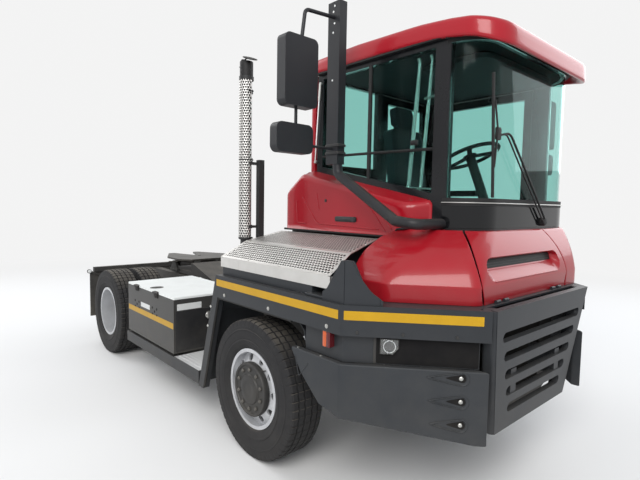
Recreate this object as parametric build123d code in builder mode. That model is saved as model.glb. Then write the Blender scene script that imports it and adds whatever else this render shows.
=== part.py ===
"""Terminal tractor: a two-axle yard tractor with an offset cab and a lifting fifth wheel.

Millimetres. +X forward, +Y to the driver's left, +Z up. The origin is on the ground, at the
middle of the overall length and on the centre line of the chassis.
"""
from math import atan2, cos, degrees, hypot, radians, sin
import os

from build123d import *

os.makedirs("parts", exist_ok=True)

# Overall sizes and axle places
body_width = 2500
wheelbase = 3243
front_axle_x = 1240
front_overhang = 1619
rear_overhang = 856
rear_axle_x = front_axle_x - wheelbase
nose_x = front_axle_x + front_overhang
tail_x = rear_axle_x - rear_overhang
half_width = body_width / 2
seat_gap = 0.3

# Tyres and rims
tyre_radius = 520
front_tyre_width = 290
rear_tyre_width = 280
twin_spacing = 320
tyre_side_gap = 10
bead_radius = 286
bead_width = 210
flange_radius = 298
flange_thickness = 12
rim_wall = 14
axle_z = tyre_radius
front_tyre_y = half_width - tyre_side_gap - front_tyre_width / 2
outer_twin_y = half_width - tyre_side_gap - rear_tyre_width / 2
inner_twin_y = outer_twin_y - twin_spacing

# Chassis rails
rail_inner_y = 280
rail_width = 90
rail_outer_y = rail_inner_y + rail_width
rail_bottom_z = 700
rail_top_z = 940
rail_wall = 12
rear_plate_thickness = 20
tow_jaw_length = 139
rail_front_x = nose_x - 359
rail_rear_x = tail_x + tow_jaw_length + rear_plate_thickness

# Engine and gearbox
engine_rear_x = front_axle_x - 260
engine_front_x = front_axle_x + 940
engine_half = 260
engine_bottom_z = 620
engine_top_z = 1290
gearbox_rear_x = engine_rear_x - 280
gearbox_half = 140
gearbox_bottom_z = 510
gearbox_top_z = 780

# Front bumper
bumper_top_z = 1322
bumper_bottom_z = 537
bumper_top_half = 682
bumper_bottom_half = 511
bumper_rake = 74
bumper_plate = 40
post_size = 95
slot_height = 62
slot_z = (1150, 1026, 905, 789, 674)
slot_half = (570, 522, 480, 434, 388)

# Side guard rails and wheel arches
kink_x = nose_x - 659
guard_rear_x = front_axle_x - 470
guard_bottom_z = 1143
guard_depth = 60
leg_foot_x = guard_rear_x - 296
leg_foot_z = 320
leg_width = 80
arch_front_x = front_axle_x + 532
liner_thickness = 6
liner_inner_y = 690
lamp_band_bottom_z = 975
lamp_band_inset = 45
lamp_band_depth = 30
side_bumper_bottom_z = 545
side_bumper_depth = 45
side_bumper_rear_x = arch_front_x - 18

# Step beams and boxes between the axles
box_front_x = leg_foot_x - 491
box_tyre_gap = 293
box_rear_x = rear_axle_x + tyre_radius + box_tyre_gap
box_inner_y = 480
box_bottom_z = 470
box_top_z = 985
box_wall = 25
lid_thickness = 20
beam_rear_x = box_rear_x - 50
beam_bottom_z = 333
beam_top_z = 441
beam_depth = 90
step_inner_y = 900

# Perforated deck over the right front wheel
deck_rear_x = guard_rear_x - 6
deck_front_x = kink_x - 145
deck_outer_y = half_width - 50
deck_crease_y = deck_outer_y - 236
deck_inner_y = 594
deck_skirt_z = 1387
deck_edge_z = 1467
deck_crease_z = 1586
deck_inner_z = 1663
deck_thickness = 6

# Cab
cab_length = 1506
cab_front_x = nose_x - 283
cab_rear_x = cab_front_x - cab_length
cab_right_y = -450
cab_left_y = half_width - 100
cab_right_corner = 250
cab_left_corner = 400
cab_wall = 50
cab_bottom_z = 1340
cab_floor_z = 1400
cab_top_z = 2990
screen_rear_x = cab_front_x - 226
screen_bottom_z = 1920
screen_top_z = 2950
glass_thickness = 8
window_head_z = 2940
hood_joint_rear_z = 2200
hood_joint_fall = 0.208
roof_side_overhang = 40
roof_rear_x = cab_rear_x - 50
roof_front_x = cab_front_x + 114
roof_top_z = 3140
door_gap = 6

# Engine hoods
side_hood_outer_y = 590
front_hood_top_z = 1740
front_hood_band_z = 1430
hood_skin = 25
hood_front_x = nose_x - 131
flap_bottom_half = 597
flap_top_half = 504
flap_gap = 8

# Barrel hinges of the doors, the battery box lid and the hood flap
hinge_radius = 10
hinge_height = 50
hinge_stand_off = hinge_radius + 2
hinge_reach = 60
flap_hinge_x = hood_front_x + hinge_stand_off
flap_hinge_z = bumper_top_z + hinge_radius
flap_hinge_y = (-400, 400)

# Fifth wheel and its lifting boom
kingpin_x = rear_axle_x + 73
boom_pivot_x = kingpin_x + 1670
boom_pivot_z = 850
boom_half = 350
fifth_wheel_top_z = 1160
fifth_wheel_half = 430
fifth_wheel_plate = 22
trunnion_z = 1085
kingpin_bore = 25.6
lift_y = 170
lift_base_x = boom_pivot_x - 440
lift_base_z = 600
lift_eye_x = boom_pivot_x - 1220
lift_eye_z = 920
barrel_radius = 52
rod_radius = 30
lift_pin_radius = 20

# Steering
knuckle_y = front_tyre_y - 225
knuckle_pin_radius = 22
steer_arm = 190


def wheel_plane(x, y, side):
    """Plane through a wheel's centre: local x points outboard, local y points up."""
    return Plane(origin=(x, y, axle_z), x_dir=(0, side, 0), z_dir=(side, 0, 0))


def wheel_axis(x, side):
    """Axle line of a wheel."""
    return Axis((x, 0, axle_z), (0, side, 0))


# Chassis frame: two box rails, crossmembers, the rear lamp bar and its mudflaps
low_member = (rail_bottom_z + 5, rail_bottom_z + 65)
crossmembers = (
    # x, width along x, (bottom z, top z)
    (rail_front_x - 60, 90, (rail_bottom_z + 20, rail_top_z - 20)),
    (gearbox_rear_x - 60, 80, low_member),
    (lift_base_x + 40, 100, low_member),
    (lift_eye_x, 80, low_member),
    (rail_rear_x + 45, 60, (rail_bottom_z + 20, rail_top_z - 10)),
)
lamp_bar_x = rail_rear_x - 10
lamp_bar_size = 60
lamp_bar_half = half_width - 60
mudflap_bottom_z = 330
mudflap_thickness = 8
mudflap_width = 600
tow_jaw_half = 70
tow_jaw_wall = 20
tow_jaw_gap = 90
tow_pin_bore = 20.5
tow_jaw_z = rail_bottom_z + 90
pivot_pin_radius = 30
pivot_pin_seat = 10
lift_side_gap = 6
lift_ear = 26
lift_ear_reach = 45
lift_ear_top_z = low_member[0] + 5
with BuildPart() as chassis_frame:
    for side in (-1, 1):
        with BuildSketch(Plane.YZ.offset(rail_rear_x)):
            with Locations((side * (rail_inner_y + rail_width / 2), (rail_bottom_z + rail_top_z) / 2)):
                Rectangle(rail_width, rail_top_z - rail_bottom_z)
                Rectangle(rail_width - 2 * rail_wall, rail_top_z - rail_bottom_z - 2 * rail_wall,
                          mode=Mode.SUBTRACT)
        extrude(amount=rail_front_x - rail_rear_x)
    for member_x, member_width, (member_bottom, member_top) in crossmembers:
        with Locations((member_x, 0, (member_bottom + member_top) / 2)):
            Box(member_width, 2 * rail_inner_y, member_top - member_bottom)
    # rear end plate with the towing jaw
    with Locations((rail_rear_x - rear_plate_thickness / 2, 0, (rail_bottom_z + rail_top_z) / 2)):
        Box(rear_plate_thickness, 2 * rail_outer_y, rail_top_z - rail_bottom_z)
    for jaw_side in (-1, 1):
        jaw_z = tow_jaw_z + jaw_side * (tow_jaw_gap + tow_jaw_wall) / 2
        with BuildSketch(Plane.XY.offset(jaw_z - tow_jaw_wall / 2)):
            with Locations((rail_rear_x - rear_plate_thickness - (tow_jaw_length - tow_jaw_half) / 2, 0)):
                Rectangle(tow_jaw_length - tow_jaw_half, 2 * tow_jaw_half)
            with Locations((tail_x + tow_jaw_half, 0)):
                Circle(tow_jaw_half)
                Circle(tow_pin_bore, mode=Mode.SUBTRACT)
        extrude(amount=tow_jaw_wall)
    # lamp bar across the tail, with a mudflap behind each pair of wheels
    with Locations((lamp_bar_x + lamp_bar_size / 2, 0, rail_top_z + lamp_bar_size / 2)):
        Box(lamp_bar_size, 2 * lamp_bar_half, lamp_bar_size)
    for side in (-1, 1):
        with Locations((lamp_bar_x + lamp_bar_size / 2, side * (outer_twin_y + inner_twin_y) / 2,
                        (rail_top_z + mudflap_bottom_z) / 2)):
            Box(mudflap_thickness, mudflap_width, rail_top_z - mudflap_bottom_z)
    # ears and pins of the lift cylinders, under a crossmember
    for side in (-1, 1):
        for ear_side in (-1, 1):
            ear_y = side * lift_y + ear_side * (barrel_radius + lift_side_gap + lift_ear / 2)
            with Locations((lift_base_x, ear_y, (lift_base_z - lift_ear_reach + lift_ear_top_z) / 2)):
                Box(2 * lift_ear_reach, lift_ear, lift_ear_top_z - lift_base_z + lift_ear_reach)
        with Locations(Location((lift_base_x, side * lift_y, lift_base_z), (90, 0, 0))):
            Cylinder(lift_pin_radius, 2 * (barrel_radius + lift_side_gap + lift_ear))
    # boom bearings on the inner sides of the rails
    with Locations(Location((boom_pivot_x, 0, boom_pivot_z), (90, 0, 0))):
        Cylinder(pivot_pin_radius, 2 * (rail_inner_y + pivot_pin_seat))
chassis_frame.part.label = "chassis_frame"
export_step(chassis_frame.part, "parts/chassis_frame.step")


# Engine with its gearbox, one heavy block between the rails
with BuildPart() as engine:
    with Locations(((engine_rear_x + engine_front_x) / 2, 0, (engine_bottom_z + engine_top_z) / 2)):
        Box(engine_front_x - engine_rear_x, 2 * engine_half, engine_top_z - engine_bottom_z)
    with Locations(((gearbox_rear_x + engine_rear_x) / 2, 0, (gearbox_bottom_z + gearbox_top_z) / 2)):
        Box(engine_rear_x - gearbox_rear_x, 2 * gearbox_half, gearbox_top_z - gearbox_bottom_z)
engine.part.label = "engine"
export_step(engine.part, "parts/engine.step")

# Front bumper: raked slotted plate between two rounded corner posts
face_length = hypot(bumper_rake, bumper_top_z - bumper_bottom_z)
face_tilt = degrees(atan2(bumper_rake, bumper_top_z - bumper_bottom_z))
bumper_plane = Plane(origin=(nose_x, 0, bumper_top_z), x_dir=(0, 1, 0),
                     z_dir=(cos(radians(face_tilt)), 0, -sin(radians(face_tilt))))
face_stretch = face_length / (bumper_top_z - bumper_bottom_z)
post_inset = 32
post_corner = post_size / 3
bumper_bracket_front_x = nose_x - 60
bumper_bracket_width = rail_width - 20
bumper_bracket_height = rail_top_z - rail_bottom_z - 60
with BuildPart() as front_bumper:
    with BuildSketch(bumper_plane):
        with BuildLine():
            Polyline((-bumper_top_half, 0), (bumper_top_half, 0), (bumper_bottom_half, -face_length),
                     (-bumper_bottom_half, -face_length), close=True)
        make_face()
        for level, half in zip(slot_z, slot_half):
            with Locations((0, -(bumper_top_z - level) * face_stretch)):
                SlotOverall(2 * half, slot_height, mode=Mode.SUBTRACT)
    extrude(amount=-bumper_plate)
    for side in (-1, 1):
        for end_z, end_half, end_x in ((bumper_bottom_z, bumper_bottom_half, nose_x - bumper_rake),
                                       (bumper_top_z, bumper_top_half, nose_x)):
            with BuildSketch(Plane.XY.offset(end_z)):
                with Locations((end_x - post_size / 2, side * (end_half - post_inset))):
                    RectangleRounded(post_size, post_size, post_corner)
        loft()
    # two brackets back to the ends of the chassis rails
    for side in (-1, 1):
        with Locations(((rail_front_x + bumper_bracket_front_x) / 2, side * (rail_inner_y + rail_width / 2),
                        (rail_bottom_z + rail_top_z) / 2)):
            Box(bumper_bracket_front_x - rail_front_x, bumper_bracket_width, bumper_bracket_height)
front_bumper.part.label = "front_bumper"
export_step(front_bumper.part, "parts/front_bumper.step")

# Guard rails: one band along each side and round the front corner, on a slanted rear leg
guard_end_y = bumper_top_half + post_size / 2 - post_inset + seat_gap
chamfer_slope = (nose_x - kink_x) / (half_width - bumper_top_half)
guard_end_x = kink_x + chamfer_slope * (half_width - guard_end_y)
leg_top_x = guard_rear_x + leg_width
leg_lean = (guard_rear_x - leg_foot_x) / (bumper_top_z - leg_foot_z)
guard_bands = (
    # inset from the outer face, depth, rear x, bottom z, top z
    (0, guard_depth, guard_rear_x, guard_bottom_z, bumper_top_z),
    (lamp_band_inset, lamp_band_depth, arch_front_x + 75, lamp_band_bottom_z, guard_bottom_z),
)
bracket_x = (front_axle_x - 240, front_axle_x + 860)
bracket_width = 70
bracket_bottom_z = guard_bottom_z + 60
bracket_top_z = guard_bottom_z + 120
bracket_foot = 40
ledge_thickness = 12
ledge_rear_x = kink_x - 90
ledge_front_x = nose_x - post_size - 2
ledge_width = 300
ledge_inner_y = 520
ledge_outer_y = half_width - guard_depth / 2
ledge_kink_x = kink_x - guard_depth / 2 * (hypot(1, chamfer_slope) - chamfer_slope)
ledge_end_x = guard_end_x - guard_depth / 2 * hypot(1, chamfer_slope)
with BuildPart() as guard_rails:
    for side in (-1, 1):
        for inset, depth, rear_x, band_bottom, band_top in guard_bands:
            corner_shift = inset * (hypot(1, chamfer_slope) - chamfer_slope)
            end_shift = inset * hypot(1, chamfer_slope)
            with BuildSketch(Plane.XY.offset(band_bottom)):
                with BuildLine():
                    Polyline((rear_x, side * (half_width - inset)),
                             (kink_x - corner_shift, side * (half_width - inset)),
                             (guard_end_x - end_shift, side * guard_end_y),
                             (guard_end_x - end_shift - depth * hypot(1, chamfer_slope), side * guard_end_y),
                             (kink_x - (inset + depth) * (hypot(1, chamfer_slope) - chamfer_slope),
                              side * (half_width - inset - depth)),
                             (rear_x, side * (half_width - inset - depth)), close=True)
                make_face()
            extrude(amount=band_top - band_bottom)
        # slanted leg down to the step beam
        with BuildSketch(Plane.XZ.offset(side * half_width)):
            with BuildLine():
                Polyline((guard_rear_x, bumper_top_z), (leg_foot_x, leg_foot_z),
                         (leg_foot_x + leg_width, leg_foot_z), (guard_rear_x + leg_width, bumper_top_z),
                         close=True)
            make_face()
        extrude(amount=-side * guard_depth)
        # brackets from the chassis rails out to the guard rail
        for bracket in bracket_x:
            with Locations((bracket, side * (rail_outer_y + half_width - guard_depth) / 2,
                            (bracket_bottom_z + bracket_top_z) / 2)):
                Box(bracket_width, half_width - guard_depth - rail_outer_y, bracket_top_z - bracket_bottom_z)
            with Locations((bracket, side * (rail_outer_y + bracket_foot / 2),
                            (rail_bottom_z + bracket_foot + bracket_top_z) / 2)):
                Box(bracket_width, bracket_foot, bracket_top_z - rail_bottom_z - bracket_foot)
    # ledge inside the front corners, under the front hood
    with BuildSketch(Plane.XY.offset(bumper_top_z - seat_gap - ledge_thickness)):
        with BuildLine():
            Polyline((ledge_rear_x, -ledge_outer_y), (ledge_rear_x, -ledge_inner_y),
                     (ledge_front_x - ledge_width, -ledge_inner_y),
                     (ledge_front_x - ledge_width, ledge_inner_y),
                     (ledge_rear_x, ledge_inner_y), (ledge_rear_x, ledge_outer_y),
                     (ledge_kink_x, ledge_outer_y), (ledge_end_x, guard_end_y),
                     (ledge_front_x, guard_end_y), (ledge_front_x, -guard_end_y),
                     (ledge_end_x, -guard_end_y), (ledge_kink_x, -ledge_outer_y), close=True)
        make_face()
    extrude(amount=ledge_thickness)
    # outer barrels of the flap's hinges, standing on the ledge
    for hinge_y in flap_hinge_y:
        for step in (-hinge_height - seat_gap, hinge_height + seat_gap):
            with Locations((flap_hinge_x, hinge_y + step, flap_hinge_z - hinge_radius / 2)):
                Box(2 * hinge_radius, hinge_height, hinge_radius + seat_gap + 2)
            with Locations(Location((flap_hinge_x, hinge_y + step, flap_hinge_z), (90, 0, 0))):
                Cylinder(hinge_radius, hinge_height)
guard_rails.part.label = "guard_rails"
export_step(guard_rails.part, "parts/guard_rails.step")

# Side bumpers: moulded lower panels ahead of the front wheels
side_bumper_rear_bottom_x = side_bumper_rear_x + 270
side_bumper_rear_bottom_z = side_bumper_bottom_z + 133
side_bumper_heel_x = side_bumper_rear_x + 93
side_bumper_heel_z = lamp_band_bottom_z - 147
side_bumper_keel_x = guard_end_x - 60
with BuildPart() as side_bumpers:
    for side in (-1, 1):
        depth_shift = side_bumper_depth * (hypot(1, chamfer_slope) - chamfer_slope)
        depth_end = side_bumper_depth * hypot(1, chamfer_slope)
        # the panel stops short of the post, which leans inward towards its foot
        with BuildSketch(Plane.XY.offset(side_bumper_bottom_z)):
            with BuildLine():
                Polyline((side_bumper_rear_x, side * half_width),
                         (kink_x, side * half_width),
                         (guard_end_x, side * guard_end_y),
                         (guard_end_x - depth_end, side * guard_end_y),
                         (kink_x - depth_shift, side * (half_width - side_bumper_depth)),
                         (side_bumper_rear_x, side * (half_width - side_bumper_depth)), close=True)
            make_face()
        extrude(amount=lamp_band_bottom_z - seat_gap - side_bumper_bottom_z)
    # the rear lower corner is swept up towards the wheel
    with BuildSketch(Plane.XZ):
        with BuildLine():
            Polyline((side_bumper_rear_x - 10, lamp_band_bottom_z - 30),
                     (side_bumper_rear_x, lamp_band_bottom_z - 20),
                     (side_bumper_heel_x, side_bumper_heel_z),
                     (side_bumper_rear_bottom_x, side_bumper_rear_bottom_z),
                     (side_bumper_keel_x, side_bumper_bottom_z),
                     (side_bumper_keel_x, side_bumper_bottom_z - 20),
                     (side_bumper_rear_x - 10, side_bumper_bottom_z - 20), close=True)
        make_face()
    extrude(amount=half_width + 10, both=True, mode=Mode.SUBTRACT)
side_bumpers.part.label = "side_bumpers"
export_step(side_bumpers.part, "parts/side_bumpers.step")

# Headlamps in the chamfered corners and the side indicators
headlamp_size = 110
headlamp_depth = 60
headlamp_reach = 0.30
headlamp_corner = 12
indicator_x = kink_x - 120
indicator_lift = 8
indicator_proud = lamp_band_inset - 5
indicator_corner = 8
indicator_width = 60
indicator_height = 100
with BuildPart() as lamps:
    for side in (-1, 1):
        lamp_x = kink_x + headlamp_reach * (guard_end_x - kink_x)
        lamp_y = half_width + headlamp_reach * (guard_end_y - half_width)
        outward = Vector(half_width - guard_end_y, side * (guard_end_x - kink_x), 0).normalized()
        lamp_centre = Vector(lamp_x, side * lamp_y, (guard_bottom_z + lamp_band_bottom_z) / 2)
        with BuildSketch(Plane(origin=lamp_centre - outward * (lamp_band_inset - seat_gap),
                               x_dir=(0, 0, 1), z_dir=tuple(outward))):
            RectangleRounded(headlamp_size, headlamp_size, headlamp_corner)
        extrude(amount=headlamp_depth / 2)
        with BuildSketch(Plane.XZ.offset(side * (half_width - lamp_band_inset + seat_gap))):
            with Locations((indicator_x, (guard_bottom_z + lamp_band_bottom_z) / 2 + indicator_lift)):
                RectangleRounded(indicator_width, indicator_height, indicator_corner)
        extrude(amount=side * indicator_proud)
lamps.part.label = "lamps"
export_step(lamps.part, "parts/lamps.step")

# Wheel arch liners: bent sheets between the legs' inner faces, behind and over the front tyres
liner_rise = 30
liner_foot_x = leg_foot_x + leg_lean * liner_rise - seat_gap - liner_thickness * hypot(1, leg_lean)
liner_foot_z = leg_foot_z + liner_rise
liner_top_z = guard_bottom_z - seat_gap
liner_knee_z = 1000
liner_outer_y = half_width - guard_depth - seat_gap
with BuildPart() as arch_liners:
    for side in (-1, 1):
        with BuildSketch(Plane.XZ.offset(side * liner_outer_y)):
            with BuildLine():
                liner_path = Polyline((liner_foot_x, liner_foot_z),
                                      (liner_foot_x + leg_lean * (liner_knee_z - liner_foot_z), liner_knee_z),
                                      (guard_rear_x - 20, liner_top_z - 40), (guard_rear_x + 60, liner_top_z),
                                      (arch_front_x - 30, liner_top_z),
                                      (arch_front_x + 40, liner_top_z - 60),
                                      (arch_front_x + 65, lamp_band_bottom_z + 10))
                offset(liner_path, amount=liner_thickness, side=Side.RIGHT, kind=Kind.INTERSECTION)
            make_face()
        extrude(amount=-side * (liner_outer_y - liner_inner_y))
arch_liners.part.label = "arch_liners"
export_step(arch_liners.part, "parts/arch_liners.step")

# Step beams low along both sides, with a chequer plate behind each front wheel
hanger_x = (box_rear_x + 90, box_front_x - 83, leg_foot_x - 94)
hanger_size = 60
hanger_rise = 10
hanger_foot = 20
hanger_top_z = rail_top_z - 60
step_thickness = 8
with BuildPart() as step_beams:
    for side in (-1, 1):
        with Locations(((beam_rear_x + leg_foot_x) / 2, side * (half_width - beam_depth / 2),
                        (beam_bottom_z + beam_top_z) / 2)):
            Box(leg_foot_x - beam_rear_x, beam_depth, beam_top_z - beam_bottom_z)
        with Locations(((leg_foot_x + box_front_x) / 2, side * (half_width + step_inner_y) / 2,
                        beam_top_z + step_thickness / 2)):
            Box(leg_foot_x - box_front_x, half_width - step_inner_y, step_thickness)
        for hanger in hanger_x:
            with Locations((hanger, side * (half_width - beam_depth + rail_outer_y) / 2,
                            beam_bottom_z + hanger_rise + hanger_size / 2)):
                Box(hanger_size, half_width - beam_depth - rail_outer_y, hanger_size)
            with Locations((hanger, side * (rail_outer_y + hanger_foot / 2),
                            (beam_bottom_z + hanger_rise + hanger_top_z) / 2)):
                Box(hanger_size, hanger_foot, hanger_top_z - beam_bottom_z - hanger_rise)
step_beams.part.label = "step_beams"
export_step(step_beams.part, "parts/step_beams.step")

# Battery box on the right: an open tub with a hinged lid
box_centre_x = (box_front_x + box_rear_x) / 2
box_length = box_front_x - box_rear_x
bearer_bottom_z = beam_bottom_z + hanger_rise + hanger_size
bearer_length = half_width - box_inner_y - 2 * beam_depth - 20
lid_hinge_x = (box_rear_x + 200, box_front_x - 200)
lid_hinge_y = -box_inner_y + hinge_stand_off
lid_hinge_z = box_top_z + seat_gap + lid_thickness / 2
lid_hinge_leaf = hinge_stand_off + 2
with BuildPart() as battery_box:
    with Locations((box_centre_x, -(half_width + box_inner_y) / 2, (box_bottom_z + box_top_z) / 2)):
        Box(box_length, half_width - box_inner_y, box_top_z - box_bottom_z)
    with Locations((box_centre_x, -(half_width + box_inner_y) / 2,
                    (box_bottom_z + box_top_z) / 2 + box_wall)):
        Box(box_length - 2 * box_wall, half_width - box_inner_y - 2 * box_wall, box_top_z - box_bottom_z,
            mode=Mode.SUBTRACT)
    # bearers under the box, resting on the step beam's hangers
    for hanger in hanger_x[:2]:
        with Locations((hanger, -(half_width + box_inner_y) / 2, (box_bottom_z + bearer_bottom_z) / 2)):
            Box(hanger_size, bearer_length, box_bottom_z - bearer_bottom_z)
    # outer barrels of the lid's hinges
    for hinge in lid_hinge_x:
        for step in (-hinge_height - seat_gap, hinge_height + seat_gap):
            with Locations((hinge + step, -box_inner_y + lid_hinge_leaf / 2, box_top_z - hinge_reach / 2)):
                Box(hinge_height, lid_hinge_leaf, hinge_reach)
            with Locations((hinge + step, lid_hinge_y, lid_hinge_z - hinge_radius)):
                Box(hinge_height, hinge_stand_off, 2 * hinge_radius)
            with Locations(Location((hinge + step, lid_hinge_y, lid_hinge_z), (0, 90, 0))):
                Cylinder(hinge_radius, hinge_height)
battery_box.part.label = "battery_box"
export_step(battery_box.part, "parts/battery_box.step")

latch_x = (box_rear_x + 170, box_front_x - 543)
latch_length = 120
latch_depth = 14
lid_corner = 12
with BuildPart() as battery_box_lid:
    with Locations((box_centre_x, -(half_width + box_inner_y) / 2, box_top_z + seat_gap + lid_thickness / 2)):
        Box(box_length, half_width - box_inner_y, lid_thickness)
    fillet(battery_box_lid.edges().filter_by(Axis.Z), lid_corner)
    for latch in latch_x:
        with Locations((latch, -(half_width - latch_depth / 2), box_top_z + seat_gap + lid_thickness / 2)):
            Box(latch_length, latch_depth, lid_thickness)
    for hinge in lid_hinge_x:
        with Locations((hinge, lid_hinge_y - hinge_radius, lid_hinge_z)):
            Box(hinge_height, 2 * hinge_radius, hinge_radius)
        with Locations(Location((hinge, lid_hinge_y, lid_hinge_z), (0, 90, 0))):
            Cylinder(hinge_radius, hinge_height)
battery_box_lid.part.label = "battery_box_lid"
export_step(battery_box_lid.part, "parts/battery_box_lid.step")

# Fuel and oil tank box on the left
tank_cap_radius = 55
tank_cap_height = 30
tank_edge = 40
with BuildPart() as fuel_tank:
    with Locations((box_centre_x, (half_width + box_inner_y) / 2, (box_bottom_z + box_top_z) / 2)):
        Box(box_length, half_width - box_inner_y, box_top_z - box_bottom_z)
    fillet(fuel_tank.edges().filter_by(Axis.X), tank_edge)
    with Locations((box_front_x - 200, half_width - 180, box_top_z + tank_cap_height / 2)):
        Cylinder(tank_cap_radius, tank_cap_height)
    for hanger in hanger_x[:2]:
        with Locations((hanger, (half_width + box_inner_y) / 2, (box_bottom_z + bearer_bottom_z) / 2)):
            Box(hanger_size, bearer_length, box_bottom_z - bearer_bottom_z)
fuel_tank.part.label = "fuel_tank"
export_step(fuel_tank.part, "parts/fuel_tank.step")

# Perforated deck: folded aluminium sheet over the right front wheel, on a dark base box
deck_front_inner_x = deck_front_x - 150
deck_fold = ((-deck_outer_y, deck_skirt_z), (-deck_outer_y, deck_edge_z), (-deck_crease_y, deck_crease_z),
             (-deck_inner_y, deck_inner_z))
with BuildPart() as deck_right:
    with BuildSketch(Plane.YZ.offset(deck_rear_x)):
        with BuildLine():
            offset(Polyline(*deck_fold), amount=deck_thickness, side=Side.RIGHT, kind=Kind.INTERSECTION)
        make_face()
    extrude(amount=deck_front_x - deck_rear_x)
    # the front edge slants back towards the hood
    with BuildSketch(Plane.XY.offset(deck_skirt_z - 10)):
        with BuildLine():
            Polyline((deck_front_x, -deck_outer_y - 1), (deck_front_x + 5, -deck_outer_y - 1),
                     (deck_front_x + 5, -deck_inner_y + 10), (deck_front_inner_x, -deck_inner_y + 10),
                     close=True)
        make_face()
    extrude(amount=deck_inner_z - deck_skirt_z + 40, mode=Mode.SUBTRACT)
deck_right.part.label = "deck_right"
export_step(deck_right.part, "parts/deck_right.step")

# Deck base: the dark box under the deck, with the gusset at its front end
gusset_front_x = kink_x + 100
gusset_y = 1085
gusset_thickness = 12
gusset_base_thickness = 18
gusset_base_y = (half_width - 30, 1110, 1000)
with BuildPart() as deck_base:
    with BuildSketch(Plane.YZ.offset(deck_rear_x + 20)):
        with BuildLine() as base_line:
            under_fold = offset(Polyline(*deck_fold, mode=Mode.PRIVATE), amount=deck_thickness + seat_gap,
                                side=Side.RIGHT, kind=Kind.INTERSECTION, closed=False)
            outer_end, inner_end = sorted((under_fold @ 0, under_fold @ 1), key=lambda point: point.X)
            Polyline(outer_end, (outer_end.X, bumper_top_z), (inner_end.X, bumper_top_z), inner_end)
        make_face()
    extrude(amount=deck_front_inner_x - deck_rear_x - 40)
    with BuildSketch(Plane.XY.offset(bumper_top_z)):
        with BuildLine():
            Polyline((deck_front_inner_x - 60, -gusset_base_y[0]), (kink_x - 40, -gusset_base_y[0]),
                     (gusset_front_x, -gusset_base_y[1]), (gusset_front_x - 60, -gusset_base_y[2]),
                     (deck_front_inner_x - 60, -gusset_base_y[2]), close=True)
        make_face()
    extrude(amount=gusset_base_thickness)
    # gusset plate rising to the deck's front corner
    with BuildSketch(Plane.XZ.offset(gusset_y)):
        with BuildLine():
            Polyline((deck_front_inner_x - 40, bumper_top_z), (gusset_front_x - 80, bumper_top_z),
                     (gusset_front_x - 80, bumper_top_z + 40), (deck_front_x - 20, deck_edge_z + 25),
                     (deck_front_inner_x - 40, deck_edge_z + 25), close=True)
        make_face()
    extrude(amount=-gusset_thickness)
deck_base.part.label = "deck_base"
export_step(deck_base.part, "parts/deck_base.step")

# Side hood: painted cover of the engine bay along the right side of the cab
side_hood_bottom_z = 1690
side_hood_rear_x = cab_rear_x - 270
side_hood_sections = (
    # x, bottom z, outer edge z, inner edge z
    (side_hood_rear_x, side_hood_bottom_z, 1985, 2010),
    (side_hood_rear_x + 222, side_hood_bottom_z, 2144, 2190),
    (side_hood_rear_x + 1230, side_hood_bottom_z, 1929, 1982),
    (side_hood_rear_x + 1260, side_hood_bottom_z + 55, 1923, 1976),
    (side_hood_rear_x + 1465, side_hood_bottom_z + 78, 1885, 1932),
)
side_hood_inner_y = -cab_right_y + seat_gap
side_hood_back_half = 120
side_hood_back_x = cab_rear_x - 4
with BuildPart() as side_hood:
    for section_x, bottom_z, outer_z, inner_z in side_hood_sections:
        with BuildSketch(Plane.YZ.offset(section_x)):
            with BuildLine():
                Polyline((-side_hood_outer_y, bottom_z), (-side_hood_outer_y, outer_z),
                         (-side_hood_inner_y, inner_z), (-side_hood_inner_y, bottom_z), close=True)
            make_face()
    loft(ruled=True)
    # the part behind the cab also covers the rear of the engine bay
    with BuildSketch(Plane.XZ.offset(side_hood_inner_y)):
        with BuildLine():
            Polyline((side_hood_rear_x, side_hood_bottom_z), (side_hood_rear_x, 2010),
                     (side_hood_rear_x + 222, 2190), (side_hood_back_x, 2180),
                     (side_hood_back_x, side_hood_bottom_z), close=True)
        make_face()
    extrude(amount=-side_hood_inner_y - side_hood_back_half)
side_hood.part.label = "side_hood"
export_step(side_hood.part, "parts/side_hood.step")

# Engine bay wall between the deck's inner edge and the side hood, down to the chassis
bay_wall_thickness = 30
bay_wall_inset = 20
bay_front_x = side_hood_rear_x + 1260
bay_height = side_hood_bottom_z - engine_top_z
bay_middle_z = (side_hood_bottom_z + engine_top_z) / 2
with BuildPart() as engine_bay:
    with Locations(((side_hood_rear_x + bay_front_x) / 2,
                    -side_hood_inner_y - bay_wall_inset - bay_wall_thickness / 2, bay_middle_z)):
        Box(bay_front_x - side_hood_rear_x, bay_wall_thickness, bay_height)
    with Locations((side_hood_rear_x + bay_wall_thickness / 2, -(side_hood_inner_y + side_hood_back_half) / 2,
                    bay_middle_z)):
        Box(bay_wall_thickness, side_hood_inner_y - side_hood_back_half, bay_height)
engine_bay.part.label = "engine_bay"
export_step(engine_bay.part, "parts/engine_bay.step")

# Front hood: a shell ahead of the cab, with a tilting flap in its middle
hood_rear_x = kink_x - 110
hood_side_y = half_width - 273
hood_outlines = (
    # z, rear y, chamfer start x, chamfer start y, front x, front y
    (bumper_top_z, -hood_side_y, kink_x + 103, -hood_side_y, hood_front_x, -640),
    (front_hood_band_z, -hood_side_y, kink_x + 103, -hood_side_y, hood_front_x, -640),
    (front_hood_top_z, -560, kink_x + 100, -560, hood_front_x - 126, -400),
)
hood_left_top_y = 848
hood_left_side_y = 930


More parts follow.
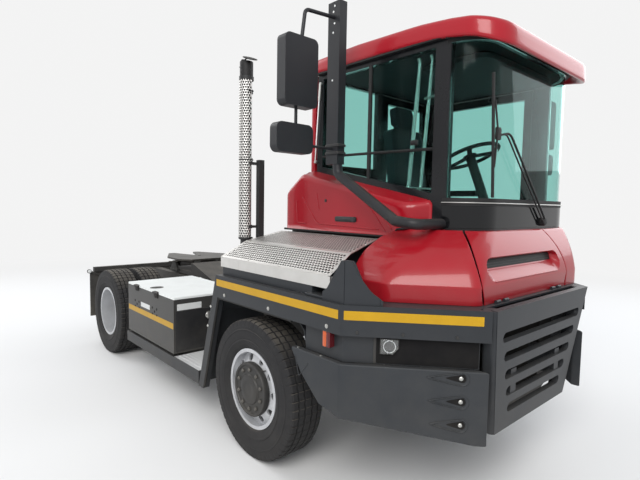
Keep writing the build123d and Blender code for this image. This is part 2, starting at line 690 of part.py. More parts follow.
def hood_outline(level, skin):
    """Plan points of the hood at one level of its table, pulled in by a skin thickness."""
    level_z, rear_y, side_x, side_y, front_x, front_y = hood_outlines[level]
    left_front_y = -front_y if level < 2 else hood_left_top_y
    left_side_y = -side_y if level < 2 else hood_left_side_y
    return [(hood_rear_x, rear_y + skin), (side_x - skin / 2, side_y + skin),
            (front_x - skin, front_y + skin / 2), (front_x - skin, left_front_y - skin / 2),
            (side_x - skin / 2, left_side_y - skin), (hood_rear_x, left_side_y - skin)]


def cab_outline(clearance):
    """Plan outline of the cab with its two rounded front corners, grown by a clearance."""
    with BuildSketch() as outline:
        with Locations(((cab_rear_x + cab_front_x) / 2, (cab_right_y + cab_left_y) / 2)):
            Rectangle(cab_front_x - cab_rear_x + 2 * clearance, cab_left_y - cab_right_y + 2 * clearance)
        front = outline.vertices().group_by(Axis.X)[-1].sort_by(Axis.Y)
        fillet(front[0], cab_right_corner + clearance)
        fillet(outline.vertices().group_by(Axis.X)[-1].sort_by(Axis.Y)[-1], cab_left_corner + clearance)
    return outline.sketch


flap_slope = (flap_bottom_half - flap_top_half) / (front_hood_top_z - bumper_top_z)
hood_cab_cut = extrude(Pos(0, 0, cab_bottom_z - 100) * cab_outline(4), amount=cab_top_z)


flap_zone_spare = 30


def flap_zone(gap):
    """Slanted-sided block that parts the flap from the rest of the hood."""
    ends = []
    for level_z, half in ((bumper_top_z - flap_zone_spare, flap_bottom_half + flap_slope * flap_zone_spare),
                          (front_hood_top_z + flap_zone_spare, flap_top_half - flap_slope * flap_zone_spare)):
        ends.append(Pos((rail_front_x + nose_x) / 2, 0, level_z)
                    * Rectangle(nose_x - rail_front_x + 4 * flap_zone_spare, 2 * (half + gap)))
    return loft(ends, ruled=True)


flap_swing_half = flap_bottom_half - 13
flap_block = flap_zone(-flap_gap / 2)
flap_opening = flap_zone(flap_gap / 2)
with BuildPart() as hood_shell:
    for low, high in ((0, 1), (1, 2)):
        for level in (low, high):
            with BuildSketch(Plane.XY.offset(hood_outlines[level][0])):
                with BuildLine():
                    Polyline(*hood_outline(level, 0), close=True)
                make_face()
        loft(ruled=True)
    with BuildSketch(Plane.XY.offset(bumper_top_z)):
        with BuildLine():
            Polyline(*hood_outline(0, hood_skin), close=True)
        make_face()
    with BuildSketch(Plane.XY.offset(front_hood_band_z - hood_skin / 2)):
        with BuildLine():
            Polyline(*hood_outline(1, hood_skin), close=True)
        make_face()
    loft(ruled=True, mode=Mode.SUBTRACT)
    with BuildSketch(Plane.XY.offset(front_hood_band_z - hood_skin / 2)):
        with BuildLine():
            Polyline(*hood_outline(1, hood_skin), close=True)
        make_face()
    with BuildSketch(Plane.XY.offset(front_hood_top_z - hood_skin)):
        with BuildLine():
            Polyline(*hood_outline(2, hood_skin), close=True)
        make_face()
    loft(ruled=True, mode=Mode.SUBTRACT)
    add(hood_cab_cut, mode=Mode.SUBTRACT)

vent_half = 490
vent_low_z = 1505
vent_high_z = 1575
vent_slats = (
    # x, z
    (hood_front_x - 70, vent_low_z + 20),
    (hood_front_x - 80, vent_low_z + 45),
)
slat_depth = 12
slat_thickness = 8
with BuildPart() as front_hood:
    add(hood_shell.part)
    add(flap_opening, mode=Mode.SUBTRACT)
front_hood.part.label = "front_hood"
export_step(front_hood.part, "parts/front_hood.step")

with BuildPart() as front_hood_flap:
    add(hood_shell.part)
    add(flap_block, mode=Mode.INTERSECT)
    # lower corners cut straight, to pass the hood's slanting sides as the flap turns down
    with Locations(((rail_front_x + nose_x) / 2, 0, front_hood_top_z)):
        Box(nose_x, 2 * flap_swing_half, nose_x, mode=Mode.INTERSECT)
    with BuildSketch(Plane.YZ.offset(rail_front_x)):
        with Locations((0, (vent_low_z + vent_high_z) / 2)):
            SlotOverall(2 * vent_half, vent_high_z - vent_low_z)
    extrude(amount=nose_x - rail_front_x, mode=Mode.SUBTRACT)
    for slat_x, slat_z in vent_slats:
        with Locations((slat_x, 0, slat_z)):
            Box(slat_depth, 2 * vent_half + 10, slat_thickness)
    for hinge_y in flap_hinge_y:
        with Locations((flap_hinge_x - hinge_radius, hinge_y, flap_hinge_z)):
            Box(2 * hinge_radius + 4, hinge_height, hinge_radius)
        with Locations(Location((flap_hinge_x, hinge_y, flap_hinge_z), (90, 0, 0))):
            Cylinder(hinge_radius, hinge_height)
front_hood_flap.part.label = "front_hood_flap"
export_step(front_hood_flap.part, "parts/front_hood_flap.step")

# Cab shell: walls and posts with window and door openings, on a floor tub
door_left_rear_x = cab_rear_x + 90
door_left_front_x = cab_front_x - 386
door_bottom_z = 1420
door_top_z = 2945
door_rear_right_y = 330
door_rear_left_y = cab_left_y - 110
side_window_rear_x = cab_rear_x + 65
side_window_front_x = cab_front_x - 341
rear_window_right_y = cab_right_y + 90
rear_window_left_y = door_rear_right_y - 70
rear_window_sill_z = 2240
window_sill_rise = 45
hinge_z = (1560, 2180, 2800)
left_hinge = (door_left_front_x - door_gap / 2, cab_left_y + hinge_stand_off)
rear_hinge = (cab_rear_x - hinge_stand_off, door_rear_left_y - door_gap / 2)


def hood_joint_z(x):
    """Height of the line where the side hood meets the cab's right wall."""
    return hood_joint_rear_z - hood_joint_fall * (x - (cab_rear_x - 80))


cab_outer = extrude(Pos(0, 0, cab_bottom_z) * cab_outline(0), amount=cab_top_z - cab_bottom_z)
cab_inner = extrude(Pos(0, 0, cab_bottom_z - 10) * cab_outline(-cab_wall), amount=cab_top_z)
with BuildPart() as cab_shell:
    add(cab_outer)
    add(cab_inner, mode=Mode.SUBTRACT)
    # windscreen opening, round both front corners
    with Locations(((screen_rear_x + nose_x) / 2, (cab_right_y + cab_left_y) / 2,
                    (screen_bottom_z + screen_top_z) / 2)):
        Box(nose_x - screen_rear_x, 2 * half_width, screen_top_z - screen_bottom_z, mode=Mode.SUBTRACT)
    # right side window, whose sill follows the side hood
    with BuildSketch(Plane.XZ.offset(-cab_right_y - cab_wall - 20)):
        with BuildLine():
            Polyline((side_window_rear_x, hood_joint_z(side_window_rear_x) + window_sill_rise),
                     (side_window_front_x, hood_joint_z(side_window_front_x) + window_sill_rise),
                     (side_window_front_x, window_head_z), (side_window_rear_x, window_head_z), close=True)
        make_face()
    extrude(amount=cab_wall + 40, mode=Mode.SUBTRACT)
    # left door opening
    with Locations(((door_left_rear_x + door_left_front_x) / 2, cab_left_y - cab_wall / 2,
                    (door_bottom_z + door_top_z) / 2)):
        Box(door_left_front_x - door_left_rear_x, cab_wall + 40, door_top_z - door_bottom_z,
            mode=Mode.SUBTRACT)
    # rear door opening and the fixed rear window beside it
    with Locations((cab_rear_x + cab_wall / 2, (door_rear_right_y + door_rear_left_y) / 2,
                    (door_bottom_z + door_top_z) / 2)):
        Box(cab_wall + 40, door_rear_left_y - door_rear_right_y, door_top_z - door_bottom_z,
            mode=Mode.SUBTRACT)
    with Locations((cab_rear_x + cab_wall / 2, (rear_window_right_y + rear_window_left_y) / 2,
                    (rear_window_sill_z + window_head_z) / 2)):
        Box(cab_wall + 40, rear_window_left_y - rear_window_right_y, window_head_z - rear_window_sill_z,
            mode=Mode.SUBTRACT)
    # upper and lower barrels of the door hinges
    for level in hinge_z:
        for step in (-hinge_height - seat_gap, hinge_height + seat_gap):
            with Locations((left_hinge[0] + hinge_reach / 2, cab_left_y, level + step)):
                Box(hinge_reach, hinge_radius, hinge_height)
            with Locations((*left_hinge, level + step)):
                Cylinder(hinge_radius, hinge_height)
            with Locations((cab_rear_x, rear_hinge[1] + hinge_reach / 2, level + step)):
                Box(hinge_radius, hinge_reach, hinge_height)
            with Locations((*rear_hinge, level + step)):
                Cylinder(hinge_radius, hinge_height)
cab_shell.part.label = "cab_shell"
export_step(cab_shell.part, "parts/cab_shell.step")

# Cab floor, closing the tub, on four mounts standing on the chassis
mount_y = rail_inner_y + 40
mount_places = [(mount_x, side * mount_y) for mount_x in (cab_rear_x + 80, cab_front_x - 226)
                for side in (-1, 1)]
mount_length = 90
mount_width = 70
with BuildPart() as cab_floor:
    with BuildSketch(Plane.XY.offset(cab_bottom_z)):
        add(cab_outline(-cab_wall - seat_gap))
    extrude(amount=cab_floor_z - cab_bottom_z)
    for place_x, place_y in mount_places:
        with Locations((place_x, place_y, (rail_top_z + cab_bottom_z) / 2)):
            Box(mount_length, mount_width, cab_bottom_z - rail_top_z)
cab_floor.part.label = "cab_floor"
export_step(cab_floor.part, "parts/cab_floor.step")

# Windscreen: one curved pane round the front and both corners
pane_inset = 12
screen_outer = extrude(Pos(0, 0, screen_bottom_z + seat_gap) * cab_outline(-pane_inset),
                       amount=screen_top_z - screen_bottom_z - 2 * seat_gap)
screen_inner = extrude(Pos(0, 0, screen_bottom_z) * cab_outline(-pane_inset - glass_thickness),
                       amount=screen_top_z - screen_bottom_z)
with BuildPart() as windscreen:
    add(screen_outer)
    add(screen_inner, mode=Mode.SUBTRACT)
    with Locations((screen_rear_x + seat_gap - cab_length, 0, cab_top_z)):
        Box(2 * cab_length, 2 * body_width, 2 * cab_top_z, mode=Mode.SUBTRACT)
windscreen.part.label = "windscreen"
export_step(windscreen.part, "parts/windscreen.step")

# Fixed panes of the right side and the rear wall
with BuildPart() as cab_windows:
    with BuildSketch(Plane.XZ.offset(-cab_right_y - pane_inset)):
        with BuildLine():
            Polyline((side_window_rear_x + seat_gap,
                      hood_joint_z(side_window_rear_x) + window_sill_rise + seat_gap),
                     (side_window_front_x - seat_gap,
                      hood_joint_z(side_window_front_x) + window_sill_rise + seat_gap),
                     (side_window_front_x - seat_gap, window_head_z - seat_gap),
                     (side_window_rear_x + seat_gap, window_head_z - seat_gap), close=True)
        make_face()
    extrude(amount=-glass_thickness)
    with Locations((cab_rear_x + pane_inset + glass_thickness / 2,
                    (rear_window_right_y + rear_window_left_y) / 2,
                    (rear_window_sill_z + window_head_z) / 2)):
        Box(glass_thickness, rear_window_left_y - rear_window_right_y - 2 * seat_gap,
            window_head_z - rear_window_sill_z - 2 * seat_gap)
cab_windows.part.label = "cab_windows"
export_step(cab_windows.part, "parts/cab_windows.step")

# Doors: framed leaves with a window, hinged at the left front post and the left rear corner
door_frame = 70
door_window_bottom_z = 1750
door_handle_z = door_window_bottom_z - 110
door_handle_length = 160
door_handle_width = 35
door_handle_depth = 30
left_leaf = (door_left_rear_x + door_gap, door_left_front_x - door_gap)
rear_leaf = (door_rear_right_y + door_gap, door_rear_left_y - door_gap)
door_leaf_height = door_top_z - door_bottom_z - 2 * door_gap
door_leaf_z = (door_top_z + door_bottom_z) / 2
door_pane_height = door_top_z - door_gap - door_frame - door_window_bottom_z
door_pane_z = (door_top_z - door_gap - door_frame + door_window_bottom_z) / 2
with BuildPart() as cab_door_left:
    with Locations(((left_leaf[0] + left_leaf[1]) / 2, cab_left_y - cab_wall / 2, door_leaf_z)):
        Box(left_leaf[1] - left_leaf[0], cab_wall, door_leaf_height)
    with Locations(((left_leaf[0] + left_leaf[1]) / 2, cab_left_y - cab_wall / 2, door_pane_z)):
        Box(left_leaf[1] - left_leaf[0] - 2 * door_frame, cab_wall + 10, door_pane_height, mode=Mode.SUBTRACT)
    with Locations((left_leaf[0] + 100, cab_left_y + door_handle_depth / 2, door_handle_z)):
        Box(door_handle_length, door_handle_depth, door_handle_width)
    for level in hinge_z:
        with Locations((left_hinge[0] - hinge_reach / 2, cab_left_y + hinge_radius / 4, level)):
            Box(hinge_reach, hinge_radius, hinge_height)
        with Locations((*left_hinge, level)):
            Cylinder(hinge_radius, hinge_height)
cab_door_left.part.label = "cab_door_left"
export_step(cab_door_left.part, "parts/cab_door_left.step")

with BuildPart() as door_left_glass:
    with Locations(((left_leaf[0] + left_leaf[1]) / 2, cab_left_y - pane_inset - glass_thickness / 2,
                    door_pane_z)):
        Box(left_leaf[1] - left_leaf[0] - 2 * door_frame - 2 * seat_gap, glass_thickness,
            door_pane_height - 2 * seat_gap)
door_left_glass.part.label = "door_left_glass"
export_step(door_left_glass.part, "parts/door_left_glass.step")

with BuildPart() as cab_door_rear:
    with Locations((cab_rear_x + cab_wall / 2, (rear_leaf[0] + rear_leaf[1]) / 2, door_leaf_z)):
        Box(cab_wall, rear_leaf[1] - rear_leaf[0], door_leaf_height)
    with Locations((cab_rear_x + cab_wall / 2, (rear_leaf[0] + rear_leaf[1]) / 2, door_pane_z)):
        Box(cab_wall + 10, rear_leaf[1] - rear_leaf[0] - 2 * door_frame, door_pane_height, mode=Mode.SUBTRACT)
    with Locations((cab_rear_x - door_handle_depth / 2, rear_leaf[0] + 45, door_handle_z)):
        Box(door_handle_depth, door_handle_width, door_handle_length)
    for level in hinge_z:
        with Locations((cab_rear_x - hinge_radius / 4, rear_hinge[1] - hinge_reach / 2, level)):
            Box(hinge_radius, hinge_reach, hinge_height)
        with Locations((*rear_hinge, level)):
            Cylinder(hinge_radius, hinge_height)
cab_door_rear.part.label = "cab_door_rear"
export_step(cab_door_rear.part, "parts/cab_door_rear.step")

with BuildPart() as door_rear_glass:
    with Locations((cab_rear_x + pane_inset + glass_thickness / 2, (rear_leaf[0] + rear_leaf[1]) / 2,
                    door_pane_z)):
        Box(glass_thickness, rear_leaf[1] - rear_leaf[0] - 2 * door_frame - 2 * seat_gap,
            door_pane_height - 2 * seat_gap)
door_rear_glass.part.label = "door_rear_glass"
export_step(door_rear_glass.part, "parts/door_rear_glass.step")

# Roof: a thick cap with a drooping front visor
roof_corner_right = 230
roof_corner_left = 380
roof_corner_rear = 60
with BuildPart() as cab_roof:
    with BuildSketch(Plane.XZ.offset(-cab_right_y + roof_side_overhang)):
        with BuildLine():
            # along the underside to the visor's lip, then back over the crown
            Polyline((roof_rear_x, cab_top_z), (cab_front_x + 1, cab_top_z),
                     (cab_front_x + 1, cab_top_z - 35), (roof_front_x, cab_top_z - 110),
                     (roof_front_x + 8, cab_top_z - 60), (roof_front_x - 25, roof_top_z - 105),
                     (cab_front_x - 26, roof_top_z - 48), (cab_front_x - 426, roof_top_z - 12),
                     (cab_rear_x + 430, roof_top_z), (roof_rear_x + 60, roof_top_z - 12),
                     (roof_rear_x, roof_top_z - 55), close=True)
        make_face()
    extrude(amount=-(cab_left_y - cab_right_y + 2 * roof_side_overhang))
    # plan corners
    with BuildSketch(Plane.XY.offset(cab_top_z - 200), mode=Mode.PRIVATE) as roof_plan:
        with Locations(((roof_rear_x + roof_front_x + 8) / 2, (cab_right_y + cab_left_y) / 2)):
            Rectangle(roof_front_x + 8 - roof_rear_x, cab_left_y - cab_right_y + 2 * roof_side_overhang)
        fillet(roof_plan.vertices().group_by(Axis.X)[-1].sort_by(Axis.Y)[0], roof_corner_right)
        fillet(roof_plan.vertices().group_by(Axis.X)[-1].sort_by(Axis.Y)[-1], roof_corner_left)
        fillet(roof_plan.vertices().group_by(Axis.X)[0], roof_corner_rear)
    extrude(roof_plan.sketch, amount=500, mode=Mode.INTERSECT)
cab_roof.part.label = "cab_roof"
export_step(cab_roof.part, "parts/cab_roof.step")

# Driver's seat on the cab's centre line, steering wheel and dashboard
cab_middle_y = (cab_right_y + cab_left_y) / 2
seat_x = cab_rear_x + 690
seat_cushion_z = 1830
seat_cushion_thickness = 110
seat_cushion_edge = 30
seat_length = 500
seat_width = 520
seat_back_height = 760
seat_back_thickness = 120
seat_back_lean = 8
pedestal_height = seat_cushion_z - cab_floor_z
pedestal_size = 300
seat_plate_thickness = 40
armrest_y = seat_width / 2 + 45
armrest_post_x = seat_x - 120
with BuildPart() as seat_base:
    with Locations((seat_x, cab_middle_y, cab_floor_z + seat_plate_thickness / 2)):
        Box(420, 380, seat_plate_thickness)
    with Locations((seat_x, cab_middle_y, cab_floor_z + pedestal_height / 2)):
        Box(pedestal_size, pedestal_size, pedestal_height)
    with Locations((seat_x, cab_middle_y, seat_cushion_z - seat_plate_thickness / 2)):
        Box(440, 440, seat_plate_thickness)
    # armrests, each on a post and a short arm from under the cushion
    for side in (-1, 1):
        with Locations((seat_x + 20, cab_middle_y + side * armrest_y, seat_cushion_z + 190)):
            Box(320, 60, 50)
        with Locations((armrest_post_x, cab_middle_y + side * armrest_y, seat_cushion_z + 75)):
            Box(50, 40, 190)
        with Locations((armrest_post_x, cab_middle_y + side * (armrest_y - 50),
                        seat_cushion_z - seat_plate_thickness / 2)):
            Box(50, 140, 30)
seat_base.part.label = "seat_base"
export_step(seat_base.part, "parts/seat_base.step")

with BuildPart() as seat_cushion:
    with Locations((seat_x, cab_middle_y, seat_cushion_z + seat_gap + seat_cushion_thickness / 2)):
        Box(seat_length, seat_width, seat_cushion_thickness)
    fillet(seat_cushion.edges(), seat_cushion_edge)
seat_cushion.part.label = "seat_cushion"
export_step(seat_cushion.part, "parts/seat_cushion.step")

seat_back_plane = Plane(origin=(seat_x - seat_length / 2 - seat_gap, cab_middle_y, seat_cushion_z + 30),
                        x_dir=(0, 1, 0),
                        z_dir=(cos(radians(seat_back_lean)), 0, sin(radians(seat_back_lean))))
seat_back_corner = 90
headrest_width = 290
headrest_height = 190
headrest_corner = 50
headrest_gap = 20
headrest_inset = 15
headrest_post = (160, 60, 20)
with BuildPart() as seat_back:
    with BuildSketch(seat_back_plane):
        with Locations((0, seat_back_height / 2)):
            RectangleRounded(seat_width - 20, seat_back_height, seat_back_corner)
    extrude(amount=-seat_back_thickness)
    with BuildSketch(seat_back_plane.offset(-headrest_inset)):
        with Locations((0, seat_back_height + headrest_height / 2 + headrest_gap)):
            RectangleRounded(headrest_width, headrest_height, headrest_corner)
    extrude(amount=-seat_back_thickness + 2 * headrest_inset)
    with BuildSketch(seat_back_plane.offset((headrest_post[2] - seat_back_thickness) / 2)):
        with Locations((0, seat_back_height + headrest_gap / 2)):
            Rectangle(headrest_post[0], headrest_post[1])
    extrude(amount=-headrest_post[2])
seat_back.part.label = "seat_back"
export_step(seat_back.part, "parts/seat_back.step")

steering_wheel_x = seat_x + 280
steering_wheel_z = 2310
steering_wheel_radius = 225
steering_rim_radius = 15
steering_boss_radius = 55
steering_boss_height = 18
steering_boss_drop = 12
spoke_width = 36
column_lean = 22
column_top = Plane(origin=(steering_wheel_x, cab_middle_y, steering_wheel_z), x_dir=(0, 1, 0),
                   z_dir=(-sin(radians(column_lean)), 0, cos(radians(column_lean))))
column_radius = 38
column_rise = column_radius * sin(radians(column_lean)) + seat_gap
column_length = (steering_wheel_z - cab_floor_z - column_rise) / cos(radians(column_lean))
with BuildPart() as steering_wheel:
    with BuildSketch(Plane(origin=column_top.origin, x_dir=column_top.x_dir, z_dir=column_top.y_dir)):
        with Locations((steering_wheel_radius, 0)):
            Circle(steering_rim_radius)
    revolve(axis=Axis(column_top.origin, column_top.z_dir))
    with BuildSketch(column_top.offset(-steering_boss_drop)):
        Circle(steering_boss_radius)
        for spoke_angle in (0, 120, 240):
            with Locations(Location((0, 0), spoke_angle)):
                with Locations((0, steering_wheel_radius / 2)):
                    Rectangle(spoke_width, steering_wheel_radius)
    extrude(amount=steering_boss_height)
    with BuildSketch(column_top.offset(-column_length)):
        Circle(column_radius)
    extrude(amount=column_length)
steering_wheel.part.label = "steering_wheel"
export_step(steering_wheel.part, "parts/steering_wheel.step")

dash_front_x = cab_front_x - cab_wall - 12
dash_rear_x = cab_front_x - 236
dash_side_gap = 30
dash_top_z = 1960
column_clearance = 22
with BuildPart() as dashboard:
    with BuildSketch(Plane.XZ.offset(-cab_right_y - cab_wall - dash_side_gap)):
        with BuildLine():
            Polyline((dash_front_x - 60, cab_floor_z + seat_gap), (dash_front_x, cab_floor_z + 200),
                     (dash_front_x, dash_top_z - 65), (dash_rear_x - 10, dash_top_z),
                     (dash_rear_x - 50, dash_top_z - 60), (dash_rear_x, cab_floor_z + seat_gap), close=True)
        make_face()
    extrude(amount=-(cab_left_y - cab_right_y - 2 * cab_wall - 2 * dash_side_gap))
    add(extrude(Pos(0, 0, cab_bottom_z) * cab_outline(-cab_wall - 6), amount=cab_top_z, mode=Mode.PRIVATE),
        mode=Mode.INTERSECT)
    # the steering column passes through
    with BuildSketch(column_top.offset(-column_length)):
        Circle(column_radius + column_clearance)
    extrude(amount=column_length, mode=Mode.SUBTRACT)
dashboard.part.label = "dashboard"
export_step(dashboard.part, "parts/dashboard.step")

# Right mirror post: channel above, bent tube below, with two mirrors on arms
post_x = cab_rear_x + 525
post_y = -cab_right_y + 290
post_top_z = 3331
post_foot_z = 2190
post_depth = 120
tube_radius = 35
tube_bend = 60
tube_knee_x = cab_front_x - 406
tube_foot_x = cab_front_x - 251
tube_foot_z = 1783
arm_radius = 13
arm_z = 3225
arm_outer_y = post_y + 300
mirror_sizes = (
    # middle y, middle z, width, height, corner, reach behind the post's middle, depth
    (post_y + 357, 2777, 281, 460, 40, 45, 90),
    (post_y + 402, 2335, 310, 195, 45, 35, 75),
)
link_radius = 11
link_length = 160
link_middle_z = 2500
stay_radius = 9
stay_length = 260
stay_z = 2300
with BuildPart() as mirrors_right:
    with BuildSketch(Plane.XY.offset(post_foot_z)):
        with Locations((post_x, -post_y)):
            Rectangle(post_depth, 2 * tube_radius)
    extrude(amount=post_top_z - post_foot_z)
    with BuildLine() as tube_line:
        FilletPolyline((post_x + 20, -post_y, post_foot_z + 60), (post_x + 35, -post_y, post_foot_z - 70),
                       (tube_knee_x, -post_y, tube_foot_z + 17), (tube_foot_x, -post_y + 5, tube_foot_z),
                       (tube_foot_x, cab_right_y - seat_gap, tube_foot_z), radius=tube_bend)
    with BuildSketch(Plane(origin=tube_line.line @ 0, z_dir=tube_line.line % 0)):
        Circle(tube_radius)
    sweep()
    # arms and mirror heads
    with BuildLine() as arm_line:
        FilletPolyline((post_x, -post_y, arm_z), (post_x, -arm_outer_y, arm_z - 20),
                       (post_x, -arm_outer_y - 60, mirror_sizes[0][1]), radius=40)
    with BuildSketch(Plane(origin=arm_line.line @ 0, z_dir=arm_line.line % 0)):
        Circle(arm_radius)
    sweep(path=arm_line.line)
    for middle_y, middle_z, head_width, head_height, corner, behind, depth in mirror_sizes:
        with BuildSketch(Plane.YZ.offset(post_x - behind)):
            with Locations((-middle_y, middle_z)):
                RectangleRounded(head_width, head_height, corner)
        extrude(amount=depth)
    with Locations((post_x, -mirror_sizes[0][0] - 13, link_middle_z)):
        Cylinder(link_radius, link_length)
    with Locations(Location((post_x, -post_y - stay_length / 2, stay_z), (90, 0, 0))):
        Cylinder(stay_radius, stay_length)
mirrors_right.part.label = "mirrors_right"
export_step(mirrors_right.part, "parts/mirrors_right.step")

# Left mirrors on an arm at the left front post
left_mirror_x = cab_front_x - 316
left_mirror_width = 180
left_arm_radius = 11
left_arm_levels = (2880, 2180)
left_bar_radius = 14
left_bar_middle_z = 2530
left_bar_length = 780
left_head_sizes = (
    # middle z, height, reach behind the arms, depth
    (2640, 420, 45, 90),
    (2290, 180, 35, 75),
)
left_head_corner = 40
left_arm_reach = 100
corner_step = left_mirror_x - left_arm_radius - (cab_front_x - cab_left_corner)
left_arm_foot_y = cab_left_y - cab_left_corner + (cab_left_corner ** 2 - corner_step ** 2) ** 0.5 + seat_gap
left_mirror_y = cab_left_y + left_arm_reach - 5
with BuildPart() as mirrors_left:
    for level in left_arm_levels:
        with Locations(Location((left_mirror_x, (left_arm_foot_y + cab_left_y + left_arm_reach) / 2, level),
                                (90, 0, 0))):
            Cylinder(left_arm_radius, cab_left_y + left_arm_reach - left_arm_foot_y)
    with Locations((left_mirror_x, left_mirror_y, left_bar_middle_z)):
        Cylinder(left_bar_radius, left_bar_length)
    for middle_z, head_height, behind, depth in left_head_sizes:
        with BuildSketch(Plane.YZ.offset(left_mirror_x - behind)):
            with Locations((left_mirror_y, middle_z)):
                RectangleRounded(left_mirror_width, head_height, left_head_corner)
        extrude(amount=depth)
mirrors_left.part.label = "mirrors_left"
export_step(mirrors_left.part, "parts/mirrors_left.step")

# Exhaust: upright stack with a perforated half-round shield and its bracket post
exhaust_x = deck_rear_x - 104
exhaust_y = 900
stack_radius = 45
stack_bottom_z = 1330
stack_top_z = 3000
shield_radius = 58
shield_bottom_z = 1590
shield_top_z = 2960
shield_wall = 4
rain_cap_thickness = 8
rain_cap_tilt = 25
rain_hinge = (14, 30, 70)
clamp_levels = (1700, 2270, 2840)
clamp_width = 30
bracket_post_x = exhaust_x + 70
bracket_post_y = exhaust_y - 100
bracket_post_size = 50
bracket_post_top_z = 2270
bracket_arm_levels = (1700, 2240)
bracket_arm = (60, 120, 20)
stack_foot_front_x = deck_rear_x + 20
stack_foot_width = 160
stack_foot_height = 40
with BuildPart() as exhaust:
    with Locations((exhaust_x, -exhaust_y, (stack_bottom_z + stack_top_z) / 2)):
        Cylinder(stack_radius, stack_top_z - stack_bottom_z)
    # rain cap, tilted on its hinge
    with Locations(Location((exhaust_x - 10, -exhaust_y, stack_top_z + 30), (0, rain_cap_tilt, 0))):
        Cylinder(stack_radius + 12, rain_cap_thickness)
    with Locations((exhaust_x - stack_radius - 2, -exhaust_y, stack_top_z + 15)):
        Box(*rain_hinge)
    with BuildSketch(Plane.XY.offset(shield_bottom_z)):
        with Locations((exhaust_x, -exhaust_y)):
            Circle(shield_radius)
            Circle(shield_radius - shield_wall, mode=Mode.SUBTRACT)
        with Locations((exhaust_x, -exhaust_y + shield_radius + 20)):
            Rectangle(3 * shield_radius, 2 * shield_radius, mode=Mode.SUBTRACT)
    extrude(amount=shield_top_z - shield_bottom_z)
    for clamp_z in clamp_levels:
        with Locations((exhaust_x, -exhaust_y, clamp_z)):
            Cylinder(shield_radius - shield_wall / 2, clamp_width)
    # bracket post and its foot on the deck base
    with Locations((bracket_post_x, -bracket_post_y, (bumper_top_z + bracket_post_top_z) / 2)):
        Box(bracket_post_size, bracket_post_size, bracket_post_top_z - bumper_top_z)
    for arm_level in bracket_arm_levels:
        with Locations(((exhaust_x + bracket_post_x) / 2, -(exhaust_y + bracket_post_y) / 2, arm_level)):
            Box(*bracket_arm)
    with Locations(((exhaust_x + stack_foot_front_x) / 2, -(exhaust_y + bracket_post_y) / 2,
                    bumper_top_z + stack_foot_height / 2)):
        Box(stack_foot_front_x - exhaust_x, stack_foot_width, stack_foot_height)
exhaust.part.label = "exhaust"
export_step(exhaust.part, "parts/exhaust.step")

# Rear platform: anti-slip catwalk behind the cab, on two bearers across the rails
platform_front_x = cab_rear_x - 130
platform_rear_x = platform_front_x - 760
platform_z = 1010
platform_half = 600
platform_thickness = 10
bearer_x = (platform_rear_x + 60, platform_front_x - 240)
bearer_width = 50
steps = (
    # x, y, z
    (leg_foot_x - 150, half_width - 200, 700),
    (leg_foot_x - 100, half_width - 400, 860),
)
step_length = 360
step_width = 260
stringer_thickness = 10
stringer_foot_y = half_width - 70
stringer_inset = 20
with BuildPart() as rear_platform:
    with Locations(((platform_rear_x + platform_front_x) / 2, 0, platform_z + platform_thickness / 2)):
        Box(platform_front_x - platform_rear_x, 2 * platform_half, platform_thickness)
    for bearer in bearer_x:
        with Locations((bearer, 0, (rail_top_z + platform_z) / 2)):
            Box(bearer_width, 2 * rail_outer_y, platform_z - rail_top_z)
    # steps up on the left, to the rear door
    for step_x, step_y, step_z in steps:
        with Locations((step_x, step_y, step_z)):
            Box(step_length, step_width, step_thickness)
    for stringer_x in (leg_foot_x - 320, leg_foot_x + 10):
        with BuildSketch(Plane.YZ.offset(stringer_x)):
            with BuildLine():
                Polyline((stringer_foot_y - stringer_inset, beam_top_z + step_thickness),
                         (stringer_foot_y, beam_top_z + step_thickness), (stringer_foot_y, 690),
                         (stringer_foot_y - 230, 860), (platform_half, platform_z + platform_thickness),
                         (rail_outer_y, platform_z), (platform_half, platform_z - 60),
                         (stringer_foot_y - stringer_inset, 640), close=True)
            make_face()
        extrude(amount=stringer_thickness)
rear_platform.part.label = "rear_platform"
export_step(rear_platform.part, "parts/rear_platform.step")

